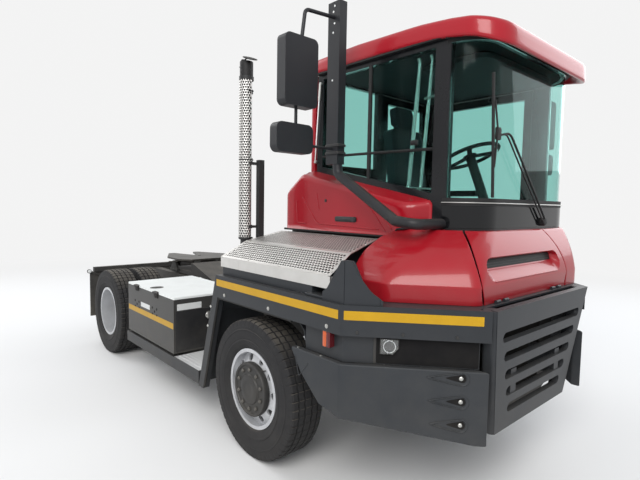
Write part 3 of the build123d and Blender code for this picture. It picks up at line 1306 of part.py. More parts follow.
# Lifting boom: hinged between the rails, carrying the fifth wheel over the rear axle
boom_wall = 20
arm_outer_y = 265
arm_thickness = 30
arm_rear_x = kingpin_x + 290
arm_knee_x = kingpin_x + 1030
boom_floor_z = rail_top_z + 15
boom_rear_x = kingpin_x - 190
boom_deck_z = 985
boom_crest_x = kingpin_x + 490
boom_crest_z = 1120
wedge_front_x = kingpin_x + 1046
wedge_under_x = wedge_front_x - 76
bearing_thickness = 30
bearing_foot = (220, 60)
ear_gap = 38
trunnion_radius = 25
fifth_ear_inner_y = 305
fifth_ear_width = 30
bearing_y = 350
with BuildPart() as lift_boom:
    # two arms from the pivot back under the wedge
    for side in (-1, 1):
        with BuildSketch(Plane.XZ.offset(side * arm_outer_y)):
            with BuildLine():
                Polyline((boom_pivot_x + 70, boom_pivot_z - 40), (boom_pivot_x + 70, boom_pivot_z + 40),
                         (boom_pivot_x - 60, boom_pivot_z + 85), (arm_knee_x, boom_floor_z + 20),
                         (arm_rear_x, boom_floor_z + 20), (arm_rear_x, boom_pivot_z + 30),
                         (arm_knee_x, boom_pivot_z - 50), (boom_pivot_x - 60, boom_pivot_z - 70), close=True)
            make_face()
        extrude(amount=-side * arm_thickness)
    with Locations(Location((boom_pivot_x, 0, boom_pivot_z), (90, 0, 0))):
        Cylinder(pivot_pin_radius + 28, 2 * arm_outer_y)
    # wedge above the rails: side plates, sloping top plate, rear deck, front sill
    for side in (-1, 1):
        with BuildSketch(Plane.XZ.offset(side * boom_half)):
            with BuildLine():
                Polyline((wedge_front_x, boom_floor_z), (boom_crest_x, boom_crest_z),
                         (boom_crest_x - 40, boom_crest_z),
                         (boom_crest_x - 40, boom_deck_z + boom_wall), (boom_rear_x, boom_deck_z + boom_wall),
                         (boom_rear_x, boom_floor_z), close=True)
            make_face()
        extrude(amount=-side * boom_wall)
    with BuildSketch(Plane.XZ.offset(-boom_half)):
        with BuildLine():
            Polyline((wedge_front_x, boom_floor_z), (boom_crest_x, boom_crest_z),
                     (boom_crest_x - 40, boom_crest_z), (boom_crest_x - 40, boom_deck_z + boom_wall),
                     (boom_rear_x, boom_deck_z + boom_wall), (boom_rear_x, boom_deck_z),
                     (boom_crest_x, boom_deck_z), (boom_crest_x, boom_crest_z - 25),
                     (wedge_under_x, boom_floor_z), close=True)
        make_face()
    extrude(amount=2 * boom_half)
    # ribs beside each lift cylinder's upper eye
    for side in (-1, 1):
        for rib in (lift_y - ear_gap - boom_wall, lift_y + ear_gap):
            with BuildSketch(Plane.XZ.offset(-side * rib)):
                with BuildLine():
                    Polyline((boom_crest_x + 80, boom_deck_z + 40), (boom_crest_x + 80, boom_floor_z),
                             (lift_eye_x + 50, lift_eye_z - 45),
                             (lift_eye_x - 50, lift_eye_z - 45), (boom_rear_x + 40, boom_floor_z),
                             (boom_rear_x + 40, boom_deck_z + 10), (boom_crest_x, boom_deck_z + 10),
                             (boom_crest_x, boom_deck_z + 40), close=True)
                make_face()
            extrude(amount=-side * boom_wall)
        with Locations(Location((lift_eye_x, side * lift_y, lift_eye_z), (90, 0, 0))):
            Cylinder(lift_pin_radius, 2 * ear_gap + 2 * boom_wall)
    # bearing brackets and pins of the fifth wheel
    for side in (-1, 1):
        with BuildSketch(Plane.XZ.offset(-side * bearing_y)):
            with BuildLine():
                Polyline((kingpin_x - 110, boom_deck_z), (kingpin_x - 40, trunnion_z + 25),
                         (kingpin_x + 40, trunnion_z + 25), (kingpin_x + 110, boom_deck_z), close=True)
            make_face()
        extrude(amount=-side * bearing_thickness)
        with Locations((kingpin_x, side * (bearing_y + 10), boom_deck_z + boom_wall / 2)):
            Box(*bearing_foot, boom_wall)
        with Locations(Location((kingpin_x, side * (fifth_ear_inner_y + bearing_y + bearing_thickness) / 2,
                                 trunnion_z), (90, 0, 0))):
            Cylinder(trunnion_radius, bearing_y + bearing_thickness - fifth_ear_inner_y)
    # bore of the pivot pin that the rails carry
    with Locations(Location((boom_pivot_x, 0, boom_pivot_z), (90, 0, 0))):
        Cylinder(pivot_pin_radius + seat_gap, 3 * arm_outer_y, mode=Mode.SUBTRACT)
lift_boom.part.label = "lift_boom"
export_step(lift_boom.part, "parts/lift_boom.step")

# Fifth wheel: ramped coupling plate with its lock, rocking on two trunnions
plate_front_x = kingpin_x + 400
plate_shoulder_x = kingpin_x - 90
plate_ramp_x = kingpin_x - 500
plate_ramp_half = 230
plate_corner = 120
throat_mouth_half = 150
throat_half = 32
lock_half = 110
handle_radius = 8
handle_z = fifth_wheel_top_z - 38
with BuildPart() as fifth_wheel:
    with BuildSketch(Plane.XY.offset(fifth_wheel_top_z - fifth_wheel_plate)):
        with BuildLine():
            Polyline((plate_front_x, -fifth_wheel_half + plate_corner),
                     (plate_front_x - plate_corner, -fifth_wheel_half),
                     (plate_shoulder_x, -fifth_wheel_half), (plate_ramp_x, -plate_ramp_half),
                     (plate_ramp_x, -throat_mouth_half), (kingpin_x - 120, -throat_half),
                     (kingpin_x - 120, throat_half), (plate_ramp_x, throat_mouth_half),
                     (plate_ramp_x, plate_ramp_half), (plate_shoulder_x, fifth_wheel_half),
                     (plate_front_x - plate_corner, fifth_wheel_half),
                     (plate_front_x, fifth_wheel_half - plate_corner), close=True)
        make_face()
        with Locations((kingpin_x, 0)):
            Circle(kingpin_bore, mode=Mode.SUBTRACT)
    extrude(amount=fifth_wheel_plate)
    # ribs under the plate: rim band, lock housing and trunnion ears
    with BuildSketch(Plane.XY.offset(fifth_wheel_top_z - 60)):
        with BuildLine():
            Polyline((kingpin_x + 260, -lock_half), (kingpin_x + 260, lock_half),
                     (kingpin_x - 110, lock_half), (kingpin_x - 110, -lock_half), close=True)
        make_face()
        with Locations((kingpin_x, 0)):
            Circle(kingpin_bore, mode=Mode.SUBTRACT)
    extrude(amount=50)
    for side in (-1, 1):
        with Locations((kingpin_x + 60, side * (fifth_ear_inner_y - 40), fifth_wheel_top_z - 42)):
            Box(560, 16, 50)
        with BuildSketch(Plane.XZ.offset(-side * fifth_ear_inner_y)):
            with BuildLine():
                Polyline((kingpin_x - 90, fifth_wheel_top_z - 10), (kingpin_x - 45, trunnion_z),
                         (kingpin_x - 40, trunnion_z - 35), (kingpin_x + 40, trunnion_z - 35),
                         (kingpin_x + 45, trunnion_z), (kingpin_x + 90, fifth_wheel_top_z - 10), close=True)
            make_face()
        extrude(amount=-side * fifth_ear_width)
        with Locations(Location((kingpin_x, side * (fifth_ear_inner_y + fifth_ear_width / 2), trunnion_z),
                                (90, 0, 0))):
            Cylinder(trunnion_radius + seat_gap, fifth_ear_width + 2, mode=Mode.SUBTRACT)
    # release handle
    with BuildLine() as handle_line:
        FilletPolyline((kingpin_x + 200, -lock_half + 10, handle_z),
                       (kingpin_x + 200, -fifth_wheel_half + 30, handle_z),
                       (kingpin_x + 150, -fifth_wheel_half - 90, handle_z), radius=30)
    with BuildSketch(Plane(origin=handle_line.line @ 0, z_dir=handle_line.line % 0)):
        Circle(handle_radius)
    sweep(path=handle_line.line)
fifth_wheel.part.label = "fifth_wheel"
export_step(fifth_wheel.part, "parts/fifth_wheel.step")

# Lift cylinders: two barrels on the frame's lower pin and two rods up to the boom
lift_length = hypot(lift_eye_x - lift_base_x, lift_eye_z - lift_base_z)
barrel_start = 70
barrel_length = 550
barrel_plug = 40
barrel_eye_radius = 42
rod_end_gap = 10
rod_eye_wall = 16
lift_drift = 7
lift_frames = [Plane(origin=(lift_base_x, side * lift_y, lift_base_z), x_dir=(0, 1, 0),
                     z_dir=(lift_eye_x - lift_base_x, 0, lift_eye_z - lift_base_z)) for side in (-1, 1)]
with BuildPart() as lift_barrels:
    for lift_frame in lift_frames:
        with BuildSketch(lift_frame.offset(barrel_start)):
            Circle(barrel_radius)
            Circle(rod_radius + seat_gap, mode=Mode.SUBTRACT)
        extrude(amount=barrel_length)
        with BuildSketch(lift_frame.offset(barrel_start)):
            Circle(barrel_radius)
        extrude(amount=barrel_plug)
        with BuildSketch(lift_frame):
            Circle(barrel_eye_radius - 6)
        extrude(amount=barrel_start)
        with Locations(Location((lift_base_x, lift_frame.origin.Y, lift_base_z), (90, 0, 0))):
            Cylinder(barrel_eye_radius, 2 * barrel_radius - 4)
            Cylinder(lift_pin_radius + seat_gap, 3 * barrel_radius, mode=Mode.SUBTRACT)
lift_barrels.part.label = "lift_barrels"
export_step(lift_barrels.part, "parts/lift_barrels.step")

with BuildPart() as lift_rods:
    for lift_frame in lift_frames:
        with BuildSketch(lift_frame.offset(barrel_start + barrel_plug + rod_end_gap)):
            Circle(rod_radius)
        extrude(amount=lift_length - barrel_start - barrel_plug - rod_end_gap - lift_pin_radius
                - lift_drift - rod_eye_wall / 4)
        with Locations(Location((lift_eye_x, lift_frame.origin.Y, lift_eye_z), (90, 0, 0))):
            Cylinder(lift_pin_radius + lift_drift + rod_eye_wall, 2 * ear_gap - 10)
            Cylinder(lift_pin_radius + lift_drift, 3 * ear_gap, mode=Mode.SUBTRACT)
lift_rods.part.label = "lift_rods"
export_step(lift_rods.part, "parts/lift_rods.step")

# Front axle: dropped beam with kingpin eyes and a leaf pack under each rail
beam_width = 110
beam_drop_z = 400
eye_radius = 48
eye_height = 130
beam_half_height = 45
spring_reach = 620
spring_end_z = (610, 650)
spring_half = 35
spring_hanger_x = 600
spring_hanger_foot_z = 600
with BuildPart() as front_axle:
    with BuildSketch(Plane.YZ.offset(front_axle_x - beam_width / 2)):
        with BuildLine():
            Polyline((-knuckle_y, axle_z + beam_half_height), (-620, axle_z + beam_half_height),
                     (-520, beam_drop_z + 110), (520, beam_drop_z + 110), (620, axle_z + beam_half_height),
                     (knuckle_y, axle_z + beam_half_height), (knuckle_y, axle_z - beam_half_height),
                     (640, axle_z - beam_half_height), (520, beam_drop_z), (-520, beam_drop_z),
                     (-640, axle_z - beam_half_height), (-knuckle_y, axle_z - beam_half_height), close=True)
        make_face()
    extrude(amount=beam_width)
    for side in (-1, 1):
        with Locations((front_axle_x, side * knuckle_y, axle_z)):
            Cylinder(eye_radius + 6, eye_height)
        # leaf pack, curved between its hangers
        spring_y = side * (rail_inner_y + rail_width / 2)
        with BuildSketch(Plane.XZ.offset(-spring_y)):
            with BuildLine():
                upper = ThreePointArc((front_axle_x - spring_reach, spring_end_z[1]),
                                      (front_axle_x, beam_drop_z + 155),
                                      (front_axle_x + spring_reach, spring_end_z[1]))
                lower = ThreePointArc((front_axle_x + spring_reach, spring_end_z[0]),
                                      (front_axle_x, beam_drop_z + 105),
                                      (front_axle_x - spring_reach, spring_end_z[0]))
                Line(upper @ 1, lower @ 0)
                Line(lower @ 1, upper @ 0)
            make_face()
        extrude(amount=spring_half, both=True)
        for hanger in (-spring_hanger_x, spring_hanger_x):
            with Locations((front_axle_x + hanger, spring_y, (rail_bottom_z + spring_hanger_foot_z) / 2)):
                Box(60, 2 * spring_half, rail_bottom_z - spring_hanger_foot_z)
        with Locations((front_axle_x, side * knuckle_y, axle_z)):
            Cylinder(knuckle_pin_radius + seat_gap, eye_height + 60, mode=Mode.SUBTRACT)
front_axle.part.label = "front_axle"
export_step(front_axle.part, "parts/front_axle.step")

# Knuckles: forked round the beam's eye, with a spindle for the hub and an arm to the tie rod
fork_gap = eye_height / 2 + 1
fork_thickness = 34
spindle_radius = 40
spindle_tip = front_tyre_y + 60
backplate_y = knuckle_y + 68
backplate_radius = 185
backplate_thickness = 16
steer_arm_thickness = 26
for side, name in ((-1, "knuckle_right"), (1, "knuckle_left")):
    with BuildPart() as knuckle:
        with Locations((front_axle_x, side * knuckle_y, axle_z)):
            Cylinder(knuckle_pin_radius, 2 * (fork_gap + fork_thickness))
        for level in (-1, 1):
            with Locations((front_axle_x, side * knuckle_y,
                            axle_z + level * (fork_gap + fork_thickness / 2))):
                Cylinder(eye_radius, fork_thickness)
            with Locations((front_axle_x, side * (knuckle_y + backplate_y) / 2,
                            axle_z + level * (fork_gap + fork_thickness / 2))):
                Box(2 * eye_radius - 6, backplate_y - knuckle_y, fork_thickness)
        with Locations(Location((front_axle_x, side * (backplate_y + backplate_thickness / 2), axle_z),
                                (90, 0, 0))):
            Cylinder(backplate_radius, backplate_thickness)
        with Locations(Location((front_axle_x, side * (backplate_y + spindle_tip) / 2, axle_z), (90, 0, 0))):
            Cylinder(spindle_radius, spindle_tip - backplate_y)
        # steering arm, back and down to the tie rod
        with BuildSketch(Plane.XY.offset(axle_z - fork_gap - fork_thickness)):
            with BuildLine():
                Polyline((front_axle_x - 20, side * (knuckle_y + 40)),
                         (front_axle_x - 20, side * (knuckle_y - 30)),
                         (front_axle_x - steer_arm - 25, side * (knuckle_y - 75)),
                         (front_axle_x - steer_arm - 25, side * (knuckle_y - 25)), close=True)
            make_face()
        extrude(amount=steer_arm_thickness)
        with Locations((front_axle_x, side * knuckle_y, axle_z - fork_gap - fork_thickness - 5)):
            Cylinder(eye_radius, 14)
    knuckle.part.label = name
    export_step(knuckle.part, f"parts/{name}.step")

# Tie rod behind the front axle, under the steering arms' ends
tie_rod_top_z = axle_z - fork_gap - fork_thickness - seat_gap
tie_rod_radius = 17
tie_rod_eye_radius = 30
tie_rod_height = 40
tie_rod_half = knuckle_y - 50
with BuildPart() as tie_rod:
    with Locations(Location((front_axle_x - steer_arm, 0, tie_rod_top_z - tie_rod_height / 2), (90, 0, 0))):
        Cylinder(tie_rod_radius, 2 * tie_rod_half)
    for side in (-1, 1):
        with Locations((front_axle_x - steer_arm, side * tie_rod_half, tie_rod_top_z - tie_rod_height / 2)):
            Cylinder(tie_rod_eye_radius, tie_rod_height)
tie_rod.part.label = "tie_rod"
export_step(tie_rod.part, "parts/tie_rod.step")

# Rear axle: rigid drive axle with its banjo housing, saddles under the rails and hub spindles
housing_radius = 85
banjo_radius = 190
banjo_width = 240
rear_spindle_radius = 55
rear_spindle_tip = outer_twin_y - 40
pinion_radius = 75
pinion_length = 260
pinion_front_x = rear_axle_x + 380
pinion_z = axle_z + 60
banjo_edge = 60
housing_end_gap = 190
propshaft_radius = 35
saddle_length = 260
with BuildPart() as rear_axle:
    with Locations(Location((rear_axle_x, 0, axle_z), (90, 0, 0))):
        Cylinder(housing_radius, 2 * (inner_twin_y - housing_end_gap))
        Cylinder(rear_spindle_radius, 2 * rear_spindle_tip)
    with Locations(Location((rear_axle_x, 0, axle_z), (90, 0, 0))):
        Cylinder(banjo_radius, banjo_width)
    fillet(rear_axle.edges().filter_by(GeomType.CIRCLE).filter_by(
        lambda edge: abs(edge.radius - banjo_radius) < seat_gap), banjo_edge)
    # pinion nose towards the propshaft
    with Locations(Location((pinion_front_x - pinion_length / 2, 0, pinion_z), (0, 90, 0))):
        Cylinder(pinion_radius, pinion_length)
    for side in (-1, 1):
        with Locations((rear_axle_x, side * (rail_inner_y + rail_width / 2), (axle_z + rail_bottom_z) / 2)):
            Box(saddle_length, rail_width, rail_bottom_z - axle_z)
    # propshaft to the gearbox
    with Locations(Location(((pinion_front_x + gearbox_rear_x - seat_gap) / 2, 0, pinion_z), (0, 90, 0))):
        Cylinder(propshaft_radius, gearbox_rear_x - seat_gap - pinion_front_x)
rear_axle.part.label = "rear_axle"
export_step(rear_axle.part, "parts/rear_axle.step")


# Tyres: solid rings seated on the rims
tread_share = 0.86
shoulder_radius = 24
widest_radius = 395
wheel_sets = (
    # name, axle x, side, tyre width, tyre middles from the centre line
    ("front_tyre_right", front_axle_x, -1, front_tyre_width, (front_tyre_y,)),
    ("front_tyre_left", front_axle_x, 1, front_tyre_width, (front_tyre_y,)),
    ("rear_tyres_right", rear_axle_x, -1, rear_tyre_width, (outer_twin_y, inner_twin_y)),
    ("rear_tyres_left", rear_axle_x, 1, rear_tyre_width, (outer_twin_y, inner_twin_y)),
)
for name, wheel_x, side, width, middles in wheel_sets:
    with BuildPart() as tyres:
        for middle in middles:
            with BuildSketch(wheel_plane(wheel_x, side * middle, side)):
                with BuildLine():
                    Polyline((-bead_width / 2, bead_radius), (-bead_width / 2, flange_radius + 2),
                             (-width / 2, widest_radius), (-width / 2 * tread_share, tyre_radius),
                             (width / 2 * tread_share, tyre_radius), (width / 2, widest_radius),
                             (bead_width / 2, flange_radius + 2), (bead_width / 2, bead_radius), close=True)
                tyre_face = make_face()
                fillet(tyre_face.vertices().group_by(Axis.Y)[2:], shoulder_radius)
            revolve(axis=wheel_axis(wheel_x, side))
    tyres.part.label = name
    export_step(tyres.part, f"parts/{name}.step")

# Front rims: steel disc wheels, bulged outboard round the hub
disc_thickness = 14
hand_hole_radius = 26
hand_hole_circle = 225
hub_bore = spindle_radius + seat_gap
for side, name in ((-1, "front_rim_right"), (1, "front_rim_left")):
    with BuildPart() as front_rim:
        with BuildSketch(wheel_plane(front_axle_x, side * front_tyre_y, side)):
            with BuildLine():
                # barrel, two flanges and the disc with its hub, as one turned section
                Polyline((-bead_width / 2 - flange_thickness, bead_radius - rim_wall),
                         (-bead_width / 2 - flange_thickness, flange_radius),
                         (-bead_width / 2 - 1, flange_radius),
                         (-bead_width / 2 - 1, bead_radius - seat_gap),
                         (bead_width / 2 + 1, bead_radius - seat_gap), (bead_width / 2 + 1, flange_radius),
                         (bead_width / 2 + flange_thickness, flange_radius),
                         (bead_width / 2 + flange_thickness, bead_radius - rim_wall),
                         (60, bead_radius - rim_wall), (92, 190), (92, 120), (145, 95), (145, 45), (132, 45),
                         (132, 0), (70, 0), (70, hub_bore), (-60, hub_bore), (-60, 140), (60, 140),
                         (78, 190), (44, bead_radius - rim_wall), close=True)
            make_face()
        revolve(axis=wheel_axis(front_axle_x, side))
        with Locations(Location((front_axle_x, side * front_tyre_y, axle_z), (90, 0, 0))):
            with PolarLocations(hand_hole_circle, 10):
                Cylinder(hand_hole_radius, 300, mode=Mode.SUBTRACT)
    front_rim.part.label = name
    export_step(front_rim.part, f"parts/{name}.step")

# Rear rims: a dished pair bolted back to back on one hub and drum
disc_place = (outer_twin_y + inner_twin_y) / 2
rear_bore = rear_spindle_radius + seat_gap
for side, name in ((-1, "rear_rims_right"), (1, "rear_rims_left")):
    with BuildPart() as rear_rims:
        for middle, outboard in ((outer_twin_y, 1), (inner_twin_y, -1)):
            with BuildSketch(wheel_plane(rear_axle_x, side * middle, side)):
                with BuildLine():
                    Polyline((-bead_width / 2 - flange_thickness, bead_radius - rim_wall),
                             (-bead_width / 2 - flange_thickness, flange_radius),
                             (-bead_width / 2 - 1, flange_radius),
                             (-bead_width / 2 - 1, bead_radius - seat_gap),
                             (bead_width / 2 + 1, bead_radius - seat_gap),
                             (bead_width / 2 + 1, flange_radius),
                             (bead_width / 2 + flange_thickness, flange_radius),
                             (bead_width / 2 + flange_thickness, bead_radius - rim_wall), close=True)
                make_face()
            revolve(axis=wheel_axis(rear_axle_x, side))
            # dished disc down to the hub at the middle of the pair
            with BuildSketch(wheel_plane(rear_axle_x, side * disc_place, side)):
                with BuildLine():
                    Polyline((0, 120), (outboard * disc_thickness, 120), (outboard * disc_thickness, 200),
                             (outboard * 60, bead_radius - rim_wall + 2),
                             (outboard * 46, bead_radius - rim_wall + 2), (0, 205), close=True)
                make_face()
            revolve(axis=wheel_axis(rear_axle_x, side))
        with Locations(Location((rear_axle_x, side * disc_place, axle_z), (90, 0, 0))):
            with PolarLocations(hand_hole_circle + 8, 10):
                Cylinder(hand_hole_radius - 4, 260, mode=Mode.SUBTRACT)
        # hub and drum
        with BuildSketch(wheel_plane(rear_axle_x, side * disc_place, side)):
            with BuildLine():
                Polyline((-150, rear_bore), (-150, 175), (-2, 175), (-2, 150), (disc_thickness + 2, 150),
                         (disc_thickness + 6, 110), (130, 95), (130, 0),
                         (rear_spindle_tip - disc_place + 5, 0),
                         (rear_spindle_tip - disc_place + 5, rear_bore), close=True)
            make_face()
        revolve(axis=wheel_axis(rear_axle_x, side))
    rear_rims.part.label = name
    export_step(rear_rims.part, f"parts/{name}.step")
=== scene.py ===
import math

import bmesh
import bpy
import numpy as np
from mathutils import Matrix, Vector


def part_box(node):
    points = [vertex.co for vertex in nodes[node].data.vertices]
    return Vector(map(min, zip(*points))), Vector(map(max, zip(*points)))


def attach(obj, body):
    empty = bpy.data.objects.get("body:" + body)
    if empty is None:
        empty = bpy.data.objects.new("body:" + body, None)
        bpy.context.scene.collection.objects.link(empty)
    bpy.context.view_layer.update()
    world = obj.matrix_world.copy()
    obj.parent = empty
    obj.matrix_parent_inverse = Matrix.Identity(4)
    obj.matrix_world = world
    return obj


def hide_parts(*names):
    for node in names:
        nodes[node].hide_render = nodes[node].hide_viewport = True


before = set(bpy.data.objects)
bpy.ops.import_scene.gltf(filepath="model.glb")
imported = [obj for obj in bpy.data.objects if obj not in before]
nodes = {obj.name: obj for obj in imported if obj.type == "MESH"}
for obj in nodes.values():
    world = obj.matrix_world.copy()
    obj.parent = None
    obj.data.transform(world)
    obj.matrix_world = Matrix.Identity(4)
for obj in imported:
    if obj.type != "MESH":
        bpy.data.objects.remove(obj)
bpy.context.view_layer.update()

# Studio: a pale seamless floor that fades into the background, one large soft key from the
# right front, a weaker fill from the left, and the camera at the photograph's angle.
half_floor, floor_grey, fade_start, fade_end = 45.0, 0.78, 4.5, 13.0
background_tone = (0.90, 0.90, 0.90, 1)


def feed(tree, target, inputs):
    """Fills a node's inputs: an output becomes a link, anything else a value."""
    for socket, value in inputs.items():
        if isinstance(value, bpy.types.NodeSocket):
            tree.links.new(value, target.inputs[socket])
        else:
            target.inputs[socket].default_value = value
    return target


def node(tree, kind, inputs=(), **settings):
    """New shader node with its settings and its inputs."""
    made = tree.nodes.new("ShaderNode" + kind)
    for key, value in settings.items():
        setattr(made, key, value)
    return feed(tree, made, dict(inputs))


def maths(tree, operation, *values, **settings):
    """Output of a math node."""
    return node(tree, "Math", enumerate(values), operation=operation, **settings).outputs[0]


def new_material(name):
    """Material, its node tree and its shader."""
    material = bpy.data.materials.new(name)
    material.use_nodes = True
    return material, material.node_tree, material.node_tree.nodes["Principled BSDF"]


def in_scene(name, data):
    """New object in the scene."""
    made = bpy.data.objects.new(name, data)
    bpy.context.scene.collection.objects.link(made)
    return made


# the paper fades with distance from the middle into the tone that lies behind everything
paper, tree, shader = new_material("floor_paper")
feed(tree, shader, {"Base Color": (floor_grey, floor_grey, floor_grey, 1), "Roughness": 0.9})
far_tone = node(tree, "Emission", {"Color": background_tone})
distance = node(tree, "VectorMath", {0: node(tree, "TexCoord").outputs["Object"]}, operation="LENGTH")
fade = node(tree, "MapRange",
            {"Value": distance.outputs["Value"], "From Min": fade_start, "From Max": fade_end},
            interpolation_type="SMOOTHSTEP")
mix = node(tree, "MixShader", {0: fade.outputs[0], 1: shader.outputs[0], 2: far_tone.outputs[0]})
feed(tree, tree.nodes["Material Output"], {"Surface": mix.outputs[0]})
floor_mesh = bpy.data.meshes.new("floor")
floor_mesh.from_pydata([(-half_floor, -half_floor, 0), (half_floor, -half_floor, 0),
                        (half_floor, half_floor, 0), (-half_floor, half_floor, 0)], [], [(0, 1, 2, 3)])
floor_mesh.materials.append(paper)
in_scene("floor", floor_mesh)

# the sky lights the scene in a cool tone, and shows to the camera, in mirrors and through glass as background
world = bpy.data.worlds.new("studio")
bpy.context.scene.world = world
world.use_nodes = True
tree = world.node_tree
sky_light = feed(tree, tree.nodes["Background"], {"Color": (0.93, 0.96, 1.0, 1), "Strength": 0.62})
sky_seen = node(tree, "Background", {"Color": background_tone})
ray = node(tree, "LightPath").outputs
seen = maths(tree, "MAXIMUM", ray["Is Camera Ray"], ray["Is Glossy Ray"])
seen = maths(tree, "MAXIMUM", seen, ray["Is Transmission Ray"])
mix = node(tree, "MixShader", {0: seen, 1: sky_light.outputs[0], 2: sky_seen.outputs[0]})
feed(tree, tree.nodes["World Output"], {"Surface": mix.outputs[0]})

for name, place, target, size, power, tone in (
        # name, place, aimed at, side of the panel, watts, colour
        ("key_panel", (7.5, -8.5, 9.0), (0.6, 0.0, 1.2), 7.0, 1250, (1.0, 0.985, 0.96)),
        ("fill_panel", (3.0, 9.5, 6.5), (0.0, 0.0, 1.2), 8.0, 420, (0.95, 0.97, 1.0)),
        ("tail_panel", (-9.0, -3.0, 7.0), (-1.0, 0.0, 1.0), 7.0, 420, (1.0, 1.0, 1.0))):
    panel_light = bpy.data.lights.new(name, "AREA")
    panel_light.size = size
    panel_light.energy = power
    panel_light.color = tone
    placed = in_scene(name, panel_light)
    placed.location = place
    placed.rotation_euler = (Vector(target) - Vector(place)).to_track_quat("-Z", "Y").to_euler()

camera_place = Vector((4.08287, -3.10068, 1.88902))
camera_yaw, camera_pitch, camera_roll = (math.radians(angle) for angle in (138.15, 4.21, -0.99))
focal_pixels, photo_width = 465.19, 640
view_axis = Vector((math.cos(camera_yaw) * math.cos(camera_pitch),
                    math.sin(camera_yaw) * math.cos(camera_pitch),
                    -math.sin(camera_pitch)))
level_right = Vector((math.sin(camera_yaw), -math.cos(camera_yaw), 0))
level_down = view_axis.cross(level_right)
image_right = math.cos(camera_roll) * level_right + math.sin(camera_roll) * level_down
image_down = -math.sin(camera_roll) * level_right + math.cos(camera_roll) * level_down
lens = bpy.data.cameras.new("photo_camera")
lens.sensor_fit = "HORIZONTAL"
lens.sensor_width = 36.0
lens.lens = lens.sensor_width * focal_pixels / photo_width
lens.clip_end = 500
camera = in_scene("photo_camera", lens)
camera.matrix_world = Matrix.Translation(camera_place) @ Matrix(
    (image_right, -image_down, -view_axis)).transposed().to_4x4()
bpy.context.scene.camera = camera
bpy.context.scene.view_settings.view_transform = "Standard"

# Chassis frame: welded box rails and crossmembers with the lamp bar and the lift ears, steel,
# sprayed black and dulled by road film that is thickest low down.
def shader_group(name, inputs, output):
    """Empty shader group: tree, sockets of its input node, output node; a tuple as default is a colour."""
    tree = bpy.data.node_groups.new(name, "ShaderNodeTree")
    for label, value in inputs.items():
        kind = "NodeSocketColor" if isinstance(value, tuple) else "NodeSocketFloat"
        tree.interface.new_socket(label, in_out="INPUT", socket_type=kind).default_value = value
    for label, kind in output.items():
        tree.interface.new_socket(label, in_out="OUTPUT", socket_type=kind)
    return tree, tree.nodes.new("NodeGroupInput").outputs, tree.nodes.new("NodeGroupOutput")


def noise(tree, scale, detail, roughness=0.5):
    """Noise in the object's own coordinates."""
    place = node(tree, "TexCoord").outputs["Object"]
    return node(tree, "TexNoise",
                {0: place, "Scale": scale, "Detail": detail, "Roughness": roughness}).outputs["Fac"]


def tone_mix(tree, share, first, second):
    """Colour between two others."""
    return node(tree, "Mix", {0: share, 6: first, 7: second}, data_type="RGBA").outputs[2]


def make_mottle():
    """Two tones mixed by cloudy noise of the given scale, sharpened by a narrow spread."""
    tree, given, leave = shader_group("cloudy_tone", {
        "Tone": (0.5, 0.5, 0.5, 1), "Second tone": (0.4, 0.4, 0.4, 1), "Scale": 3.0, "Spread": 0.25},
        {"Color": "NodeSocketColor"})
    mask = node(tree, "MapRange", {"Value": noise(tree, given["Scale"], 6.0, 0.6),
                                   "From Min": maths(tree, "SUBTRACT", 0.5, given["Spread"]),
                                   "From Max": maths(tree, "ADD", 0.5, given["Spread"])}).outputs[0]
    feed(tree, leave, {"Color": tone_mix(tree, mask, given["Tone"], given["Second tone"])})
    return tree


def make_road_film():
    """Dust over a colour: full at the low height, gone at the high one, patchy, plus dust on top faces."""
    tree, given, leave = shader_group("road_film", {
        "Color": (0.5, 0.5, 0.5, 1), "Film": (0.23, 0.205, 0.17, 1), "Low": 0.0, "High": 1.0, "Amount": 0.5,
        "Top dust": 0.1, "Roughness": 0.5}, {"Color": "NodeSocketColor", "Roughness": "NodeSocketFloat"})
    dusty_roughness = 0.85
    spot = node(tree, "SeparateXYZ", {0: node(tree, "TexCoord").outputs["Object"]}).outputs["Z"]
    height = node(tree, "MapRange", {"Value": spot, "From Min": given["Low"], "From Max": given["High"],
                                     "To Min": 1.0, "To Max": 0.0}).outputs[0]
    patchy = node(tree, "MapRange", {"Value": noise(tree, 7.0, 7.0, 0.65), "From Min": 0.3, "From Max": 0.7,
                                     "To Min": 0.25, "To Max": 1.0}).outputs[0]
    low_film = maths(tree, "MULTIPLY", maths(tree, "MULTIPLY", height, patchy), given["Amount"])
    upward = node(tree, "SeparateXYZ", {0: node(tree, "NewGeometry").outputs["Normal"]}).outputs["Z"]
    top = node(tree, "MapRange", {"Value": upward, "From Min": 0.6, "From Max": 1.0}).outputs[0]
    top_film = maths(tree, "MULTIPLY", maths(tree, "MULTIPLY", top, patchy), given["Top dust"])
    whole = maths(tree, "ADD", low_film, top_film, use_clamp=True)
    rough = node(tree, "Mix", {0: whole, 2: given["Roughness"], 3: dusty_roughness})
    feed(tree, leave,
         {"Color": tone_mix(tree, whole, given["Color"], given["Film"]), "Roughness": rough.outputs[0]})
    return tree


def make_surface_grain():
    """Height of fine pebbly grain plus long shallow waviness, as in moulded or sprayed skins."""
    tree, given, leave = shader_group("surface_grain", {
        "Grain scale": 300.0, "Grain": 1.0, "Wave scale": 5.0, "Wave": 0.0}, {"Height": "NodeSocketFloat"})
    fine = maths(tree, "MULTIPLY", noise(tree, given["Grain scale"], 2.0), given["Grain"])
    both = maths(tree, "MULTIPLY_ADD", noise(tree, given["Wave scale"], 1.0), given["Wave"], fine)
    feed(tree, leave, {"Height": both})
    return tree


cloudy_tone, road_film, surface_grain = make_mottle(), make_road_film(), make_surface_grain()


